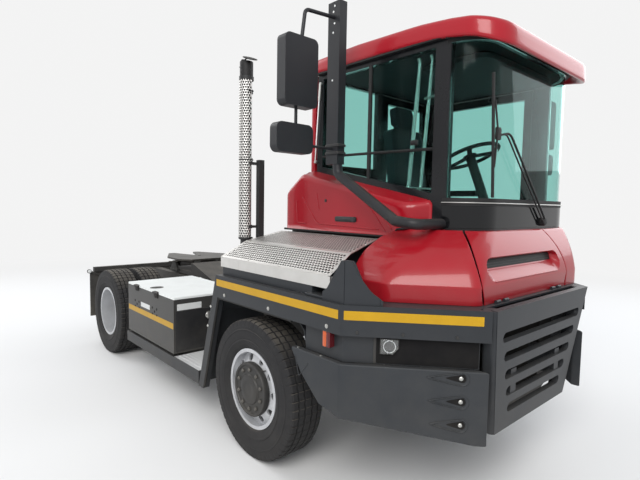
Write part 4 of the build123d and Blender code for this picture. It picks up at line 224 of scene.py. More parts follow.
def coat_finish(name, tone, second_tone, roughness, metallic=0.0, coat=0.0, coat_roughness=0.05,
                cloud=(3.0, 0.3), film=(0.0, 1.2, 0.4, 0.15), grain=(350.0, 1.0, 5.0, 0.0), bump=0.05,
                bump_depth=0.001, shine=0.28):
    """Sprayed or moulded finish: cloudy tone, road film (low, high, amount, top dust), grained bump."""
    material, tree, shader = new_material(name)
    base = node(tree, "Group", {"Tone": (*tone, 1), "Second tone": (*second_tone, 1), "Scale": cloud[0],
                                "Spread": cloud[1]}, node_tree=cloudy_tone)
    dusty = node(tree, "Group", {"Color": base.outputs["Color"], "Low": film[0], "High": film[1],
                                 "Amount": film[2], "Top dust": film[3], "Roughness": roughness},
                 node_tree=road_film)
    skin = node(tree, "Group", zip(("Grain scale", "Grain", "Wave scale", "Wave"), grain),
                node_tree=surface_grain)
    bumped = node(tree, "Bump", {"Height": skin.outputs["Height"], "Strength": bump, "Distance": bump_depth})
    feed(tree, shader, {"Base Color": dusty.outputs["Color"], "Roughness": dusty.outputs["Roughness"],
                        "Normal": bumped.outputs["Normal"], "Metallic": metallic, "Specular IOR Level": shine,
                        "Coat Weight": coat, "Coat Roughness": coat_roughness})
    return material


def dress(material, *names):
    """Puts a finish on carried-over nodes."""
    for name in names:
        nodes[name].data.materials.clear()
        nodes[name].data.materials.append(material)


def modifier(piece, name, kind, **settings):
    """New modifier with its settings."""
    made = piece.modifiers.new(name, kind)
    for key, value in settings.items():
        setattr(made, key, value)


smooth_faces = bpy.data.node_groups.new("smooth_faces", "GeometryNodeTree")
for way in ("INPUT", "OUTPUT"):
    smooth_faces.interface.new_socket("Geometry", in_out=way, socket_type="NodeSocketGeometry")
entry, smooth, leave = (smooth_faces.nodes.new(kind) for kind in (
    "NodeGroupInput", "GeometryNodeSetShadeSmooth", "NodeGroupOutput"))
smooth_faces.links.new(entry.outputs[0], smooth.inputs["Geometry"])
smooth_faces.links.new(smooth.outputs[0], leave.inputs[0])


def round_edges(width, *names, segments=2, angle=32):
    """Gives edges a small radius: welds points, joins flat faces, bevels, weights the shading by face."""
    for name in names:
        piece = nodes[name]
        modifier(piece, "weld", "WELD", merge_threshold=0.00002)
        modifier(piece, "flat", "DECIMATE", decimate_type="DISSOLVE", angle_limit=math.radians(0.5))
        modifier(piece, "edge", "BEVEL", width=width, segments=segments, limit_method="ANGLE",
                 angle_limit=math.radians(angle), use_clamp_overlap=True)
        modifier(piece, "shade", "NODES", node_group=smooth_faces)
        modifier(piece, "weighted", "WEIGHTED_NORMAL", keep_sharp=True)


frame_black = coat_finish("frame_black_paint", (0.020, 0.021, 0.022), (0.030, 0.030, 0.031),
                          0.5, film=(0.2, 1.3, 0.45, 0.30), bump=0.15)
dress(frame_black, "chassis_frame", "lift_barrels", "lift_boom", "cab_floor")
round_edges(0.004, "chassis_frame", "lift_boom", "cab_floor")


# Tail: four round lamps in the lamp bar behind the frame, red and orange, and a blank white number plate
# between them; the plate is riveted, the lamps are moulded lenses screwed to the bar.
def grid_faces(rows, columns, wrap_rows=False, wrap_columns=False, caps=False):
    """Quads between neighbours of a rows by columns grid; caps add one face each for the first and last row."""
    row = np.arange(rows if wrap_rows else rows - 1)
    column = np.arange(columns if wrap_columns else columns - 1)
    first, second = (index.ravel() for index in np.meshgrid(row, column, indexing="ij"))
    next_row, next_column = (first + 1) % rows, (second + 1) % columns
    quads = np.stack((first * columns + second, next_row * columns + second,
                      next_row * columns + next_column, first * columns + next_column), axis=1).tolist()
    if caps:
        quads += [list(range(columns)), list(range((rows - 1) * columns, rows * columns))]
    return quads


def joined(shapes):
    """One point array and face list out of several (points, faces) shapes."""
    points, faces, start = [], [], 0
    for shape_points, shape_faces in shapes:
        flat = np.asarray(shape_points, dtype=float).reshape(-1, 3)
        points.append(flat)
        faces += [[index + start for index in face] for face in shape_faces]
        start += len(flat)
    return np.concatenate(points), faces


def cleaned(mesh, distance=0.0):
    """Turns a mesh's faces outward, its points within a distance merged."""
    work = bmesh.new()
    work.from_mesh(mesh)
    if distance:
        bmesh.ops.remove_doubles(work, verts=work.verts, dist=distance)
    bmesh.ops.recalc_face_normals(work, faces=work.faces)
    work.to_mesh(mesh)
    work.free()


def add_piece(name, shape, material, body="chassis", stands_for=(), sharp=35, merge=0.0):
    """Mesh of a shape or a list of shapes, outward and smooth up to the sharp angle, that rides on a body."""
    points, faces = joined(shape) if isinstance(shape, list) else shape
    mesh = bpy.data.meshes.new(name)
    mesh.from_pydata(np.asarray(points, dtype=float).reshape(-1, 3).tolist(), [], faces)
    cleaned(mesh, merge)
    mesh.shade_smooth()
    mesh.set_sharp_from_angle(angle=math.radians(sharp))
    mesh.materials.append(material)
    made = in_scene(name, mesh)
    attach(made, body)
    if stands_for:
        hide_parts(*stands_for)
    return made


def lathe(profile, centre, axis, steps=48, ring=False):
    """Profile (radius, distance along the axis) turned about an axis through centre; a ring's profile loops."""
    profile = np.asarray(profile, dtype=float)
    along = np.asarray(axis, dtype=float)
    side = np.cross(along, (0.0, 0.0, 1.0) if abs(along[2]) < 0.9 else (1.0, 0.0, 0.0))
    side /= np.linalg.norm(side)
    other = np.cross(along, side)
    turn = np.arange(steps) * 2 * np.pi / steps
    around = np.cos(turn)[:, None] * side + np.sin(turn)[:, None] * other
    points = np.asarray(centre) + profile[:, None, 0:1] * around + profile[:, None, 1:2] * along
    return points, grid_faces(len(profile), steps, wrap_rows=ring, wrap_columns=True, caps=not ring)


def round_box(width, height, corner, steps=4):
    """Outline of a rectangle about the origin with quarter-circle corners, as (across, up) points."""
    turn = np.linspace(0, np.pi / 2, steps + 1)
    quarter = np.stack((np.cos(turn), np.sin(turn)), axis=1) * corner
    middle = np.array((width / 2 - corner, height / 2 - corner))
    return np.concatenate((quarter + middle, quarter[::-1] * (-1, 1) + middle * (-1, 1), -quarter - middle,
                           quarter[::-1] * (1, -1) + middle * (1, -1)))


facing_right, facing_left, facing_front, facing_rear, facing_up = (
    ((1, 0, 0), (0, 0, 1)), ((-1, 0, 0), (0, 0, 1)), ((0, 1, 0), (0, 0, 1)), ((0, -1, 0), (0, 0, 1)),
    ((1, 0, 0), (0, 1, 0)))


def slab(outline, origin, facing, depth, edge=0.0):
    """Flat outline in the plane of facing, (across, up), carried forward by depth, its front edge chamfered."""
    outline, across, up = (np.asarray(values, dtype=float) for values in (outline, *facing))
    normal = np.cross(across, up)
    size = np.abs(outline).max(axis=0)
    rows = [(0, 1.0), (depth - edge, 1.0)]
    if edge:
        rows.append((depth, 1.0 - edge / size.min()))
    points = [np.asarray(origin) + share * (outline[:, 0:1] * across + outline[:, 1:2] * up) + lift * normal
              for lift, share in rows]
    return np.array(points), grid_faces(len(rows), len(outline), wrap_columns=True, caps=True)


def plate(width, height, corner, origin, facing, depth, edge=0.0, steps=4):
    """Rectangular slab with round corners."""
    return slab(round_box(width, height, corner, steps), origin, facing, depth, edge)


def block(low, high):
    """Plain box between two corners."""
    low, high = np.minimum(low, high), np.maximum(low, high)
    middle, size = (low + high) / 2, high - low
    corners = np.array(((-0.5, -0.5), (0.5, -0.5), (0.5, 0.5), (-0.5, 0.5))) * size[:2]
    return slab(corners, (middle[0], middle[1], low[2]), facing_up, size[2])


zinc = coat_finish("zinc_plated_steel", (0.55, 0.55, 0.53), (0.42, 0.42, 0.40), 0.35, metallic=0.9,
                   film=(0.2, 1.3, 0.25, 0.1))
lens_red = coat_finish("lens_red", (0.45, 0.008, 0.006), (0.36, 0.006, 0.005), 0.18, coat=0.7,
                       film=(0.3, 1.4, 0.1, 0.1))
lens_orange = coat_finish("lens_orange", (0.55, 0.085, 0.010), (0.45, 0.065, 0.008), 0.18,
                          coat=0.7, film=(0.3, 1.4, 0.08, 0.1))
plate_white = coat_finish("plate_white", (0.70, 0.72, 0.72), (0.62, 0.63, 0.62), 0.4,
                          film=(0.3, 1.4, 0.1, 0.1))
tail_face_x, tail_lamp_z, red_y, orange_y, backward = -2.711, 0.950, 0.86, 0.70, (-1, 0, 0)
lens_profile = ((0.038, 0.0), (0.038, 0.016), (0.034, 0.022), (0.025, 0.026), (0.012, 0.028), (0.003, 0.0285))
bezel_profile = ((0.041, -0.001), (0.046, 0.009), (0.043, 0.014), (0.0385, 0.014), (0.0385, -0.001))
for name, lamp_y, material in (("tail_lamps", red_y, lens_red), ("tail_indicators", orange_y, lens_orange)):
    add_piece(name, [lathe(lens_profile, (tail_face_x, side * lamp_y, tail_lamp_z), backward, 40)
                     for side in (-1, 1)], material)
add_piece("tail_lamp_bezels", [lathe(bezel_profile, (tail_face_x, y, tail_lamp_z), backward, 40, ring=True)
                               for y in (-red_y, -orange_y, orange_y, red_y)], frame_black)
add_piece("tail_plate", plate(0.30, 0.05, 0.006, (tail_face_x + 0.001, 0, tail_lamp_z), facing_rear, 0.003),
          plate_white)


# Side marker arms: black rubber stalks bent outward past the rear mudflaps, each with a small moulded
# lamp at its end, white forward and red behind.
def bent(points, radius, steps=6):
    """Path with rounded corners: each becomes a quadratic curve between points a radius away from it."""
    points = np.asarray(points, dtype=float)
    share = np.linspace(0, 1, steps + 1)[:, None]
    path = [points[:1]]
    for before, corner, after in zip(points[:-2], points[1:-1], points[2:]):
        back, ahead = before - corner, after - corner
        trim = min(radius, np.linalg.norm(back) / 2.05, np.linalg.norm(ahead) / 2.05)
        start = corner + back / np.linalg.norm(back) * trim
        end = corner + ahead / np.linalg.norm(ahead) * trim
        path.append((1 - share) ** 2 * start + 2 * share * (1 - share) * corner + share ** 2 * end)
    return np.concatenate(path + [points[-1:]])


def tube(path, radius, sides=10, reference=(0.13, 0.27, 0.95)):
    """Circle carried along a path; a fixed reference gives its start direction, so that it never twists."""
    path = np.asarray(path, dtype=float)
    tangent = np.gradient(path, axis=0)
    tangent /= np.linalg.norm(tangent, axis=1, keepdims=True)
    side = np.cross(tangent, reference)
    side /= np.linalg.norm(side, axis=1, keepdims=True)
    other = np.cross(tangent, side)
    turn = np.arange(sides) * 2 * np.pi / sides
    ring = np.cos(turn)[None, :, None] * side[:, None] + np.sin(turn)[None, :, None] * other[:, None]
    return path[:, None] + radius * ring, grid_faces(len(path), sides, wrap_columns=True, caps=True)


stalk_x, stalk_end_y, stalk_end_z = -2.660, 1.250, 0.948
stalk_body = ((0.026, -0.012), (0.028, -0.010), (0.028, 0.010), (0.026, 0.012))
stalk_lens = ((0.023, 0.011), (0.022, 0.018), (0.014, 0.024), (0.002, 0.026))
stalks = []
for side in (-1, 1):
    arm = ((-2.690, side * 1.045, 0.880), (-2.672, side * 1.110, 0.882), (-2.662, side * 1.190, 0.925),
           (stalk_x, side * 1.236, 0.946))
    stalks += [tube(bent(arm, 0.05), 0.012),
               lathe(stalk_body, (stalk_x, side * stalk_end_y, stalk_end_z), (1, 0, 0), 24)]
add_piece("marker_stalks", stalks, frame_black)
for name, ahead, material in (("marker_stalk_whites", 1, plate_white), ("marker_stalk_reds", -1, lens_red)):
    add_piece(name, [lathe(stalk_lens, (stalk_x, side * stalk_end_y, stalk_end_z), (ahead, 0, 0), 24)
                     for side in (-1, 1)], material)

# Engine, gearbox, axles and steering: castings and forgings, oily and dusty, seen from below
# and through the arches; machined faces only where they bolt together.
cast_iron = coat_finish("oily_cast_iron", (0.030, 0.029, 0.028), (0.060, 0.053, 0.046), 0.62,
                        metallic=0.35, film=(0.1, 0.9, 0.55, 0.3), grain=(120.0, 1.0, 9.0, 0.4), bump=0.35,
                        bump_depth=0.002)
dress(cast_iron, "engine", "front_axle", "rear_axle", "knuckle_right", "knuckle_left", "tie_rod",
      "engine_bay")
round_edges(0.006, "engine", "front_axle", "rear_axle", "engine_bay", "tie_rod")


# Coupling: lifting boom, ramped coupling plate coated with grease, and two lift cylinders whose
# chromed rods stay bright.
greasy_steel = coat_finish("greasy_steel", (0.085, 0.080, 0.074), (0.030, 0.028, 0.026),
                           0.38, metallic=0.85, cloud=(5.0, 0.2), film=(0.3, 1.6, 0.15, 0.1),
                           grain=(140.0, 0.6, 12.0, 0.8), bump=0.2)
dress(greasy_steel, "fifth_wheel")
round_edges(0.004, "fifth_wheel")
chrome = coat_finish("chromed_rod", (0.72, 0.72, 0.72), (0.66, 0.66, 0.66), 0.12, metallic=1.0,
                     film=(0.2, 1.4, 0.06, 0.0))
dress(chrome, "lift_rods")


# Tyres: radial truck tyres with four zigzag grooves, cross cuts in every rib and a ribbed side wall;
# vulcanised rubber, dusty in the tread and on the shoulders.
tyre_rubber = coat_finish("tyre_rubber", (0.011, 0.011, 0.013), (0.020, 0.020, 0.021), 0.72,
                          cloud=(9.0, 0.3), film=(0.0, 1.1, 0.08, 0.60), grain=(500.0, 1.0, 30.0, 0.5),
                          bump=0.25)
tyre_radius = axle_height = 0.52
tread_share, tread_crown, groove_depth, cut_depth, zigzag = 0.86, 0.004, 0.013, 0.007, 0.0035
# one pitch of the tread: where its rows lie, and which of them the cross cut lowers
pitches = 56
pitch_steps = np.array((0.0, 0.06, 0.15, 0.21, 0.50, 0.78))
cut_steps = np.array((0, 1, 1, 0, 0, 0))
# tread: distance from the middle as a share of its half width, groove (1) or rib (0), zigzag share, cut share
ribs = np.array(((0.0, 0, 0.0, 0.6), (0.19, 0, 1.0, 0.6), (0.215, 1, 1.0, 0), (0.275, 1, 1.0, 0),
                 (0.30, 0, 1.0, 0.6), (0.60, 0, 1.0, 0.6), (0.625, 1, 1.0, 0), (0.685, 1, 1.0, 0),
                 (0.71, 0, 1.0, 0.9), (0.86, 0, 0.3, 1.0), (0.97, 0, 0.0, 1.0)))
# side wall: distance from the middle as a share of the half width, depth below the tread, cut share
wall = np.array(((0.915, 0.012, 1.0), (0.945, 0.032, 1.0), (0.955, 0.050, 0.7), (0.964, 0.054, 0),
                 (0.966, 0.072, 0), (0.992, 0.076, 0), (0.994, 0.083, 0), (0.978, 0.087, 0),
                 (0.990, 0.112, 0), (0.990, 0.134, 0), (0.972, 0.150, 0), (1.0, 0.155, 0), (0.998, 0.164, 0),
                 (0.972, 0.169, 0), (0.955, 0.180, 0), (0.88, 0.202, 0), (0.79, 0.217, 0), (0.735, 0.2215, 0),
                 (0.720, 0.2338, 0)))


def tyre(width, centre_y, wheel_x):
    """Side-to-side section turned about the axle; grooves and cuts push its tread rows inward."""
    half = width / 2
    across = np.concatenate((ribs[:, 0] * half * tread_share, wall[:, 0] * half))
    height = tyre_radius - np.concatenate((tread_crown * ribs[:, 0] ** 2 + groove_depth * ribs[:, 1],
                                           wall[:, 1]))
    swing = np.concatenate((ribs[:, 2] * zigzag, np.zeros(len(wall))))
    cut = np.concatenate((ribs[:, 3], wall[:, 2])) * cut_depth
    order = np.concatenate((np.arange(len(across))[:0:-1], np.arange(len(across))))
    sign = np.where(np.arange(len(order)) < len(across) - 1, -1.0, 1.0)
    phase = ((np.arange(pitches)[:, None] + pitch_steps) / pitches).ravel()
    turn = phase * 2 * np.pi
    wave = 4 * np.abs((phase * pitches) % 1.0 - 0.5) - 1
    is_cut = np.tile(cut_steps, pitches)
    y = across[order] * sign + wave[:, None] * swing[order]
    radius = height[order] - is_cut[:, None] * cut[order]
    points = np.stack((wheel_x + radius * np.cos(turn)[:, None], centre_y + y,
                       axle_height + radius * np.sin(turn)[:, None]), axis=2)
    return points, grid_faces(len(turn), len(order), wrap_rows=True, wrap_columns=True)


tyre_outer_y, twin_distance = 1.240, 0.320
wheel_sets = []
for side, hand in ((-1, "right"), (1, "left")):
    for place, node_name, body, width in (("front", f"front_tyre_{hand}", f"wheel_front_{hand}", 0.290),
                                          ("rear", f"rear_tyres_{hand}", f"wheels_rear_{hand}", 0.280)):
        low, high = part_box(node_name)
        wheel_x = (low[0] + high[0]) / 2
        outer_y = side * (tyre_outer_y - width / 2)
        middles = (outer_y,) if place == "front" else (outer_y, outer_y - side * twin_distance)
        wheel_sets.append((side, hand, place, body, wheel_x, outer_y))
        add_piece(f"{node_name}_tread", [tyre(width, middle, wheel_x) for middle in middles], tyre_rubber,
                  body=body, stands_for=(node_name,), sharp=28)


# Rims: pressed steel disc wheels in silver with ten hand holes, ten nuts on the hub circle, a dark cast hub,
# on the front wheels with a guard ring that stands out over the disc, and a rubber valve through the disc.
def hexagons(centres, axis, radius, height):
    """Bolt or nut heads: six-sided prisms with a slightly smaller crown, one at each centre."""
    profile = ((radius, 0), (radius, height * 0.8), (radius * 0.82, height))
    return [lathe(profile, centre, axis, steps=6) for centre in centres]


rim_silver = coat_finish("rim_silver_paint", (0.66, 0.67, 0.69), (0.50, 0.51, 0.53), 0.34,
                         metallic=0.55, cloud=(6.0, 0.25), film=(0.0, 1.05, 0.16, 0.05))
dress(rim_silver, "front_rim_right", "front_rim_left", "rear_rims_right", "rear_rims_left")
hub_dark = coat_finish("hub_dark_casting", (0.035, 0.036, 0.038), (0.060, 0.058, 0.055), 0.5,
                       metallic=0.5, film=(0.0, 1.0, 0.22, 0.1), grain=(150.0, 1.0, 8.0, 0.3), bump=0.2)
hub_nuts = coat_finish("hub_nuts_worn", (0.16, 0.15, 0.14), (0.10, 0.10, 0.09), 0.45, metallic=0.8,
                       film=(0.0, 1.0, 0.2, 0.1))
guard_profile = ((0.120, 0.0935), (0.196, 0.0935), (0.200, 0.102), (0.200, 0.136), (0.196, 0.142),
                 (0.181, 0.142), (0.176, 0.134), (0.112, 0.1335), (0.108, 0.137), (0.105, 0.1445),
                 (0.092, 0.1485), (0.060, 0.1505), (0.052, 0.1485), (0.030, 0.1490), (0.006, 0.1495))
cap_profile = ((0.124, -0.055), (0.120, -0.038), (0.098, -0.030), (0.094, -0.004), (0.088, 0.0), (0.062, 0.0),
               (0.058, 0.010), (0.040, 0.013), (0.010, 0.014))
# hub profile, its steps, nut circle, nut radius, nut height, stud reach and nut finish; then how far
# outside the tyre's middle the hub's origin, the nuts' seat and the disc lie
hub_kinds = {"front": (guard_profile, 72, 0.148, 0.0150, 0.012, 0.014, hub_nuts, 0.0, 0.1335, 0.0885),
             "rear": (cap_profile, 56, 0.1675, 0.0165, 0.018, 0.022, zinc, -0.0298, -0.1455, -0.115)}
nut_count, first_nut, valve_circle, valve_turn = 10, 0.31, 0.212, 0.9
for side, hand, place, body, wheel_x, outer_y in wheel_sets:
    (hub_profile, hub_steps, nut_circle, nut_radius, nut_height, stud_reach, nut_finish,
     hub_out, nut_out, disc_out) = hub_kinds[place]
    out = np.array((0, side, 0))
    turns = np.arange(nut_count) * 2 * np.pi / nut_count + first_nut
    nut_spots = np.stack((wheel_x + nut_circle * np.cos(turns), np.full(nut_count, outer_y + side * nut_out),
                          axle_height + nut_circle * np.sin(turns)), axis=1)
    stud = ((0.010, 0.010), (0.010, stud_reach), (0.007, stud_reach + 0.002), (0.001, stud_reach + 0.0025))
    add_piece(f"{place}_hub_{hand}", lathe(hub_profile, (wheel_x, outer_y + side * hub_out, axle_height), out,
                                           hub_steps), hub_dark, body=body, sharp=40)
    add_piece(f"{place}_nuts_{hand}", hexagons(nut_spots, out, nut_radius, nut_height)
              + [lathe(stud, spot, out, 12) for spot in nut_spots], nut_finish, body=body)
    foot = np.array((wheel_x + valve_circle * math.cos(valve_turn), outer_y + side * disc_out,
                     axle_height + valve_circle * math.sin(valve_turn)))
    valve = bent((foot, foot + out * 0.018, foot + out * 0.034 + (0.012, 0, 0.016)), 0.012)
    add_piece(f"{place}_valve_{hand}", tube(valve, 0.0045, 8), frame_black, body=body)


# Guard rails and bumper: folded and welded plate round the whole front, dark grey satin paint, scuffed
# at the edges and dusty towards the ground; the panels under it are moulded plastic.
guard_grey = coat_finish("guard_grey_paint", (0.0195, 0.0220, 0.0260), (0.0255, 0.0285, 0.0330),
                         0.42, cloud=(4.0, 0.3), film=(0.25, 1.30, 0.16, 0.08), grain=(260.0, 1.0, 4.0, 0.6),
                         bump=0.12)
dress(guard_grey, "guard_rails", "front_bumper")
round_edges(0.005, "guard_rails", segments=3)
round_edges(0.007, "front_bumper", segments=3)
moulded_grey = coat_finish("moulded_grey_plastic", (0.0200, 0.0235, 0.0285),
                           (0.0275, 0.0315, 0.0370), 0.52, film=(0.35, 1.3, 0.13, 0.10),
                           grain=(420.0, 1.0, 4.0, 0.4), bump=0.22)
dress(moulded_grey, "side_bumpers", "arch_liners")
round_edges(0.012, "side_bumpers", segments=4)

body_half, kink_x, end_x, end_y = 1.250, 2.200, 2.810, 0.7242
chamfer = np.array((end_x - kink_x, end_y - body_half, 0.0))
chamfer_length = np.linalg.norm(chamfer)
chamfer /= chamfer_length
chamfer_out = np.array((-chamfer[1], chamfer[0], 0.0))
side_facing = {-1: facing_right, 1: facing_left}


def on_chamfer(side, along, height, proud=0.0):
    """Point on the front corner's outer face: distance from the kink, height, and how far it stands off."""
    point = np.array((kink_x, body_half, 0.0)) + chamfer * along + chamfer_out * proud
    return np.array((point[0], side * point[1], height))


def corner_facing(side):
    """Facing and normal of the front corner's outer face."""
    return (chamfer * (-side, -1, 0), (0, 0, 1)), chamfer_out * (1, side, 0)


# Warning stripes: yellow reflective tape on the guard band, cut at the kink, also along the side boxes;
# thin plastic film with glass beads, glued on.
tape_yellow = coat_finish("yellow_tape", (0.52, 0.295, 0.004), (0.44, 0.245, 0.003), 0.38, coat=0.05,
                          cloud=(8.0, 0.3), film=(0.4, 1.5, 0.10, 0.05), grain=(180.0, 0.8, 3.0, 0.2),
                          bump=0.08)
stripe_height, stripe_z, stripe_proud, stripe_corner = 0.053, 1.2635, 0.0012, 0.003
stripe_rear_x, stripe_front_x, chamfer_start, chamfer_end = 0.783, 2.185, 0.022, chamfer_length - 0.004
stripes = []
for side in (-1, 1):
    stripes += [plate(stripe_front_x - stripe_rear_x, stripe_height, stripe_corner,
                      ((stripe_rear_x + stripe_front_x) / 2, side * body_half, stripe_z), side_facing[side],
                      stripe_proud, steps=2),
                plate(chamfer_end - chamfer_start, stripe_height, stripe_corner,
                      on_chamfer(side, (chamfer_start + chamfer_end) / 2, stripe_z), corner_facing(side)[0],
                      stripe_proud, steps=2)]
add_piece("guard_stripes", stripes, tape_yellow)


# Bolts: bright zinc dome heads on washers along the band, small dark ones over the lamps, and the black
# rubber strip that seals the leg against the wheel arch.
def screw_head(centre, out, radius, rim, crown, height, steps=16):
    """Low round head: a rim of its full radius, drawn in to the crown, 1 mm lower than its middle."""
    return lathe(((radius, 0.0), (radius, rim), (crown, height - 0.001), (0.001, height)), centre, out, steps)


dome = ((0.0135, 0.0), (0.0135, 0.002), (0.0095, 0.003), (0.0088, 0.006), (0.005, 0.0085), (0.001, 0.009))
bolt_z, corner_bolt_z, seal_y, seal_top = 1.176, 1.166, 1.236, 1.139
domes, dark_bolts, strips = [], [], []
for side in (-1, 1):
    out = (0, side, 0)
    domes += [lathe(dome, (x, side * body_half, bolt_z), out, 20) for x in (0.905, 1.493, 2.088)]
    domes += [screw_head((x, side * body_half, z), out, 0.011, 0.002, 0.007, 0.007)
              for x, z in ((0.690, 1.05), (0.640, 0.88))]
    dark_bolts += hexagons([on_chamfer(side, along, corner_bolt_z) for along in (0.10, 0.36, 0.66)],
                           corner_facing(side)[1], 0.010, 0.006)
    strip = [(x, side * seal_y, z)
             for x, z in ((0.556, 0.345), (0.788, 1.13), (0.838, seal_top), (1.74, seal_top))]
    strips.append(tube(bent(strip, 0.05), 0.011, 8))
add_piece("guard_bolts", domes, zinc)
add_piece("corner_bolts", dark_bolts, frame_black)
rubber_black = coat_finish("rubber_strip", (0.010, 0.010, 0.011), (0.016, 0.016, 0.016), 0.6,
                           film=(0.2, 1.3, 0.2, 0.1))
add_piece("arch_seals", strips, rubber_black)


# Radiator behind the bumper's slots: a dark core with fine folded fins, and a dark air guide round it that
# closes the view through the lower slots; brazed sheet, riveted into a frame.
core_black = coat_finish("radiator_core", (0.012, 0.012, 0.013), (0.022, 0.021, 0.020), 0.6,
                         metallic=0.4)
fin_count, fin_half, fin_low, fin_high, core_x = 90, 0.46, 0.60, 1.20, 2.560
core = block((core_x, -0.50, 0.58), (core_x + 0.04, 0.50, 1.22))
fin = np.array(((0.041, -0.0015), (0.055, 0.0), (0.041, 0.0015)))
fin = np.array([(x, y, z) for z in (fin_low, fin_high) for x, y in fin])
fins = [(fin + (core_x, y, 0), [[0, 1, 4, 3], [1, 2, 5, 4], [2, 0, 3, 5], [2, 1, 0], [3, 4, 5]])
        for y in np.linspace(-fin_half, fin_half, fin_count)]
guide = ((-0.46, 0.40), (0.46, 0.40), (0.78, 0.53), (0.78, 1.20), (-0.78, 1.20), (-0.78, 0.53))
add_piece("radiator_core", [core, *fins, slab(guide, (core_x + 0.010, 0, 0), facing_front, 0.004)],
          core_black)


# Lamps: a clear headlamp in each front corner's recess, with its bowl and bulb, and a two-tone side
# marker, orange ahead and dark red behind, under a black hood; moulded parts screwed to the guard.
def clear_material(name, tone, roughness, transmission, refraction):
    """Clear glass or plastic, with its node tree and shader."""
    material, tree, shader = new_material(name)
    feed(tree, shader, {"Base Color": (*tone, 1), "Roughness": roughness, "Transmission Weight": transmission,
                        "IOR": refraction})
    return material, tree, shader


lamp_clear, tree, shader = clear_material("lamp_clear_lens", (0.93, 0.95, 0.95), 0.04, 0.95, 1.3)
flutes = node(tree, "TexWave",
              {0: node(tree, "TexCoord").outputs["Object"], "Scale": 55.0, "Distortion": 0.0},
              bands_direction="Z")
fluted = node(tree, "Bump", {"Height": flutes.outputs["Fac"], "Strength": 0.3, "Distance": 0.002})
feed(tree, shader, {"Normal": fluted.outputs["Normal"]})
mirror_bowl = coat_finish("lamp_bowl", (0.82, 0.83, 0.84), (0.74, 0.75, 0.76), 0.28, metallic=0.75,
                          film=(0, 1, 0, 0))
# near-black finish with little sheen: painted shade, laid on the back of the lamp recesses, in the scoop mouths
# and air holes, and under the perforated deck
shade_black = coat_finish("painted_shade_black", (0.004, 0.004, 0.005), (0.007, 0.007, 0.008),
                           0.6, film=(0.3, 1.3, 0.12, 0.1), shine=0.1)
marker_dark = coat_finish("marker_dark_red", (0.10, 0.006, 0.010), (0.07, 0.004, 0.008), 0.2,
                          coat=0.4, film=(0.3, 1.4, 0.1, 0.1))
lamp_wedge = np.array(((-0.050, -0.043), (0.018, -0.043), (0.050, -0.008), (0.050, 0.043), (-0.050, 0.043)))
bowl_profile = ((0.034, 0.012), (0.036, 0.0235), (0.033, 0.0235), (0.026, 0.016), (0.008, 0.0135))
bulb_profile = ((0.009, 0.008), (0.009, 0.018), (0.006, 0.021), (0.001, 0.022))
lamp_height, lamp_along, recess_start, recess_end, recess_z = 1.088, 0.287, 0.212, 0.790, 1.0595
marker_x, marker_inset, marker_z = 2.080, 0.0448, 1.096
lenses, bowls, bulbs, hoods, recesses, oranges, reds = [], [], [], [], [], [], []
for side in (-1, 1):
    facing, normal = corner_facing(side)
    face = on_chamfer(side, lamp_along, lamp_height, -0.0445)
    bowls += [slab(lamp_wedge * 0.90, face + normal * 0.004, facing, 0.0085, 0.006),
              lathe(bowl_profile, face, normal, 32)]
    bulbs.append(lathe(bulb_profile, face, normal, 14))
    lenses.append(slab(lamp_wedge, face + normal * 0.0245, facing, 0.012, 0.006))
    hoods += [slab(lamp_wedge * 1.10, face + normal * 0.0008, facing, 0.022, 0.003),
              plate(0.016, 0.160, 0.004, on_chamfer(side, 0.203, recess_z, -0.046), facing, 0.010, 0.003)]
    # the back of the recess: a near-black plate of painted shade
    recess_middle = on_chamfer(side, (recess_start + recess_end) / 2, recess_z, -0.0455)
    recesses.append(plate(recess_end - recess_start, 0.158, 0.010, recess_middle, facing, 0.0022))
    for shift, halves in ((-0.016, oranges), (0.016, reds)):
        middle = (marker_x + shift, side * (body_half - marker_inset), marker_z)
        halves.append(plate(0.030, 0.100, 0.006, middle, side_facing[side], 0.041, 0.003))
add_piece("headlamp_bowls", bowls, mirror_bowl, stands_for=("lamps",))
add_piece("headlamp_lenses", lenses, lamp_clear)
add_piece("headlamp_housings", hoods, frame_black)
add_piece("headlamp_bulbs", bulbs, plate_white)
add_piece("lamp_recesses", recesses, shade_black)
add_piece("marker_orange", oranges, lens_orange)
add_piece("marker_red", reds, marker_dark)


# Side bumper panels: moulded grey plastic with three teardrop air scoops at the front, a triangle pressed
# into the rear corner, and screws along the top flange.
def teardrop(length, height, steps=20):
    """Half rounded, half pointed outline: half the height falls off as (1 - way to the tip) ** 0.75."""
    turn = np.linspace(-np.pi / 2, np.pi / 2, steps)
    share = np.linspace(0, 1, steps + 1)[1:]
    half = height / 2
    blunt = np.stack((length / 2 - half + half * np.cos(turn), half * np.sin(turn)), axis=1)
    upper = np.stack((length / 2 - half - share * (length - half), half * (1 - share) ** 0.75), axis=1)
    return np.concatenate((blunt, upper, upper[-2::-1] * (1, -1)))


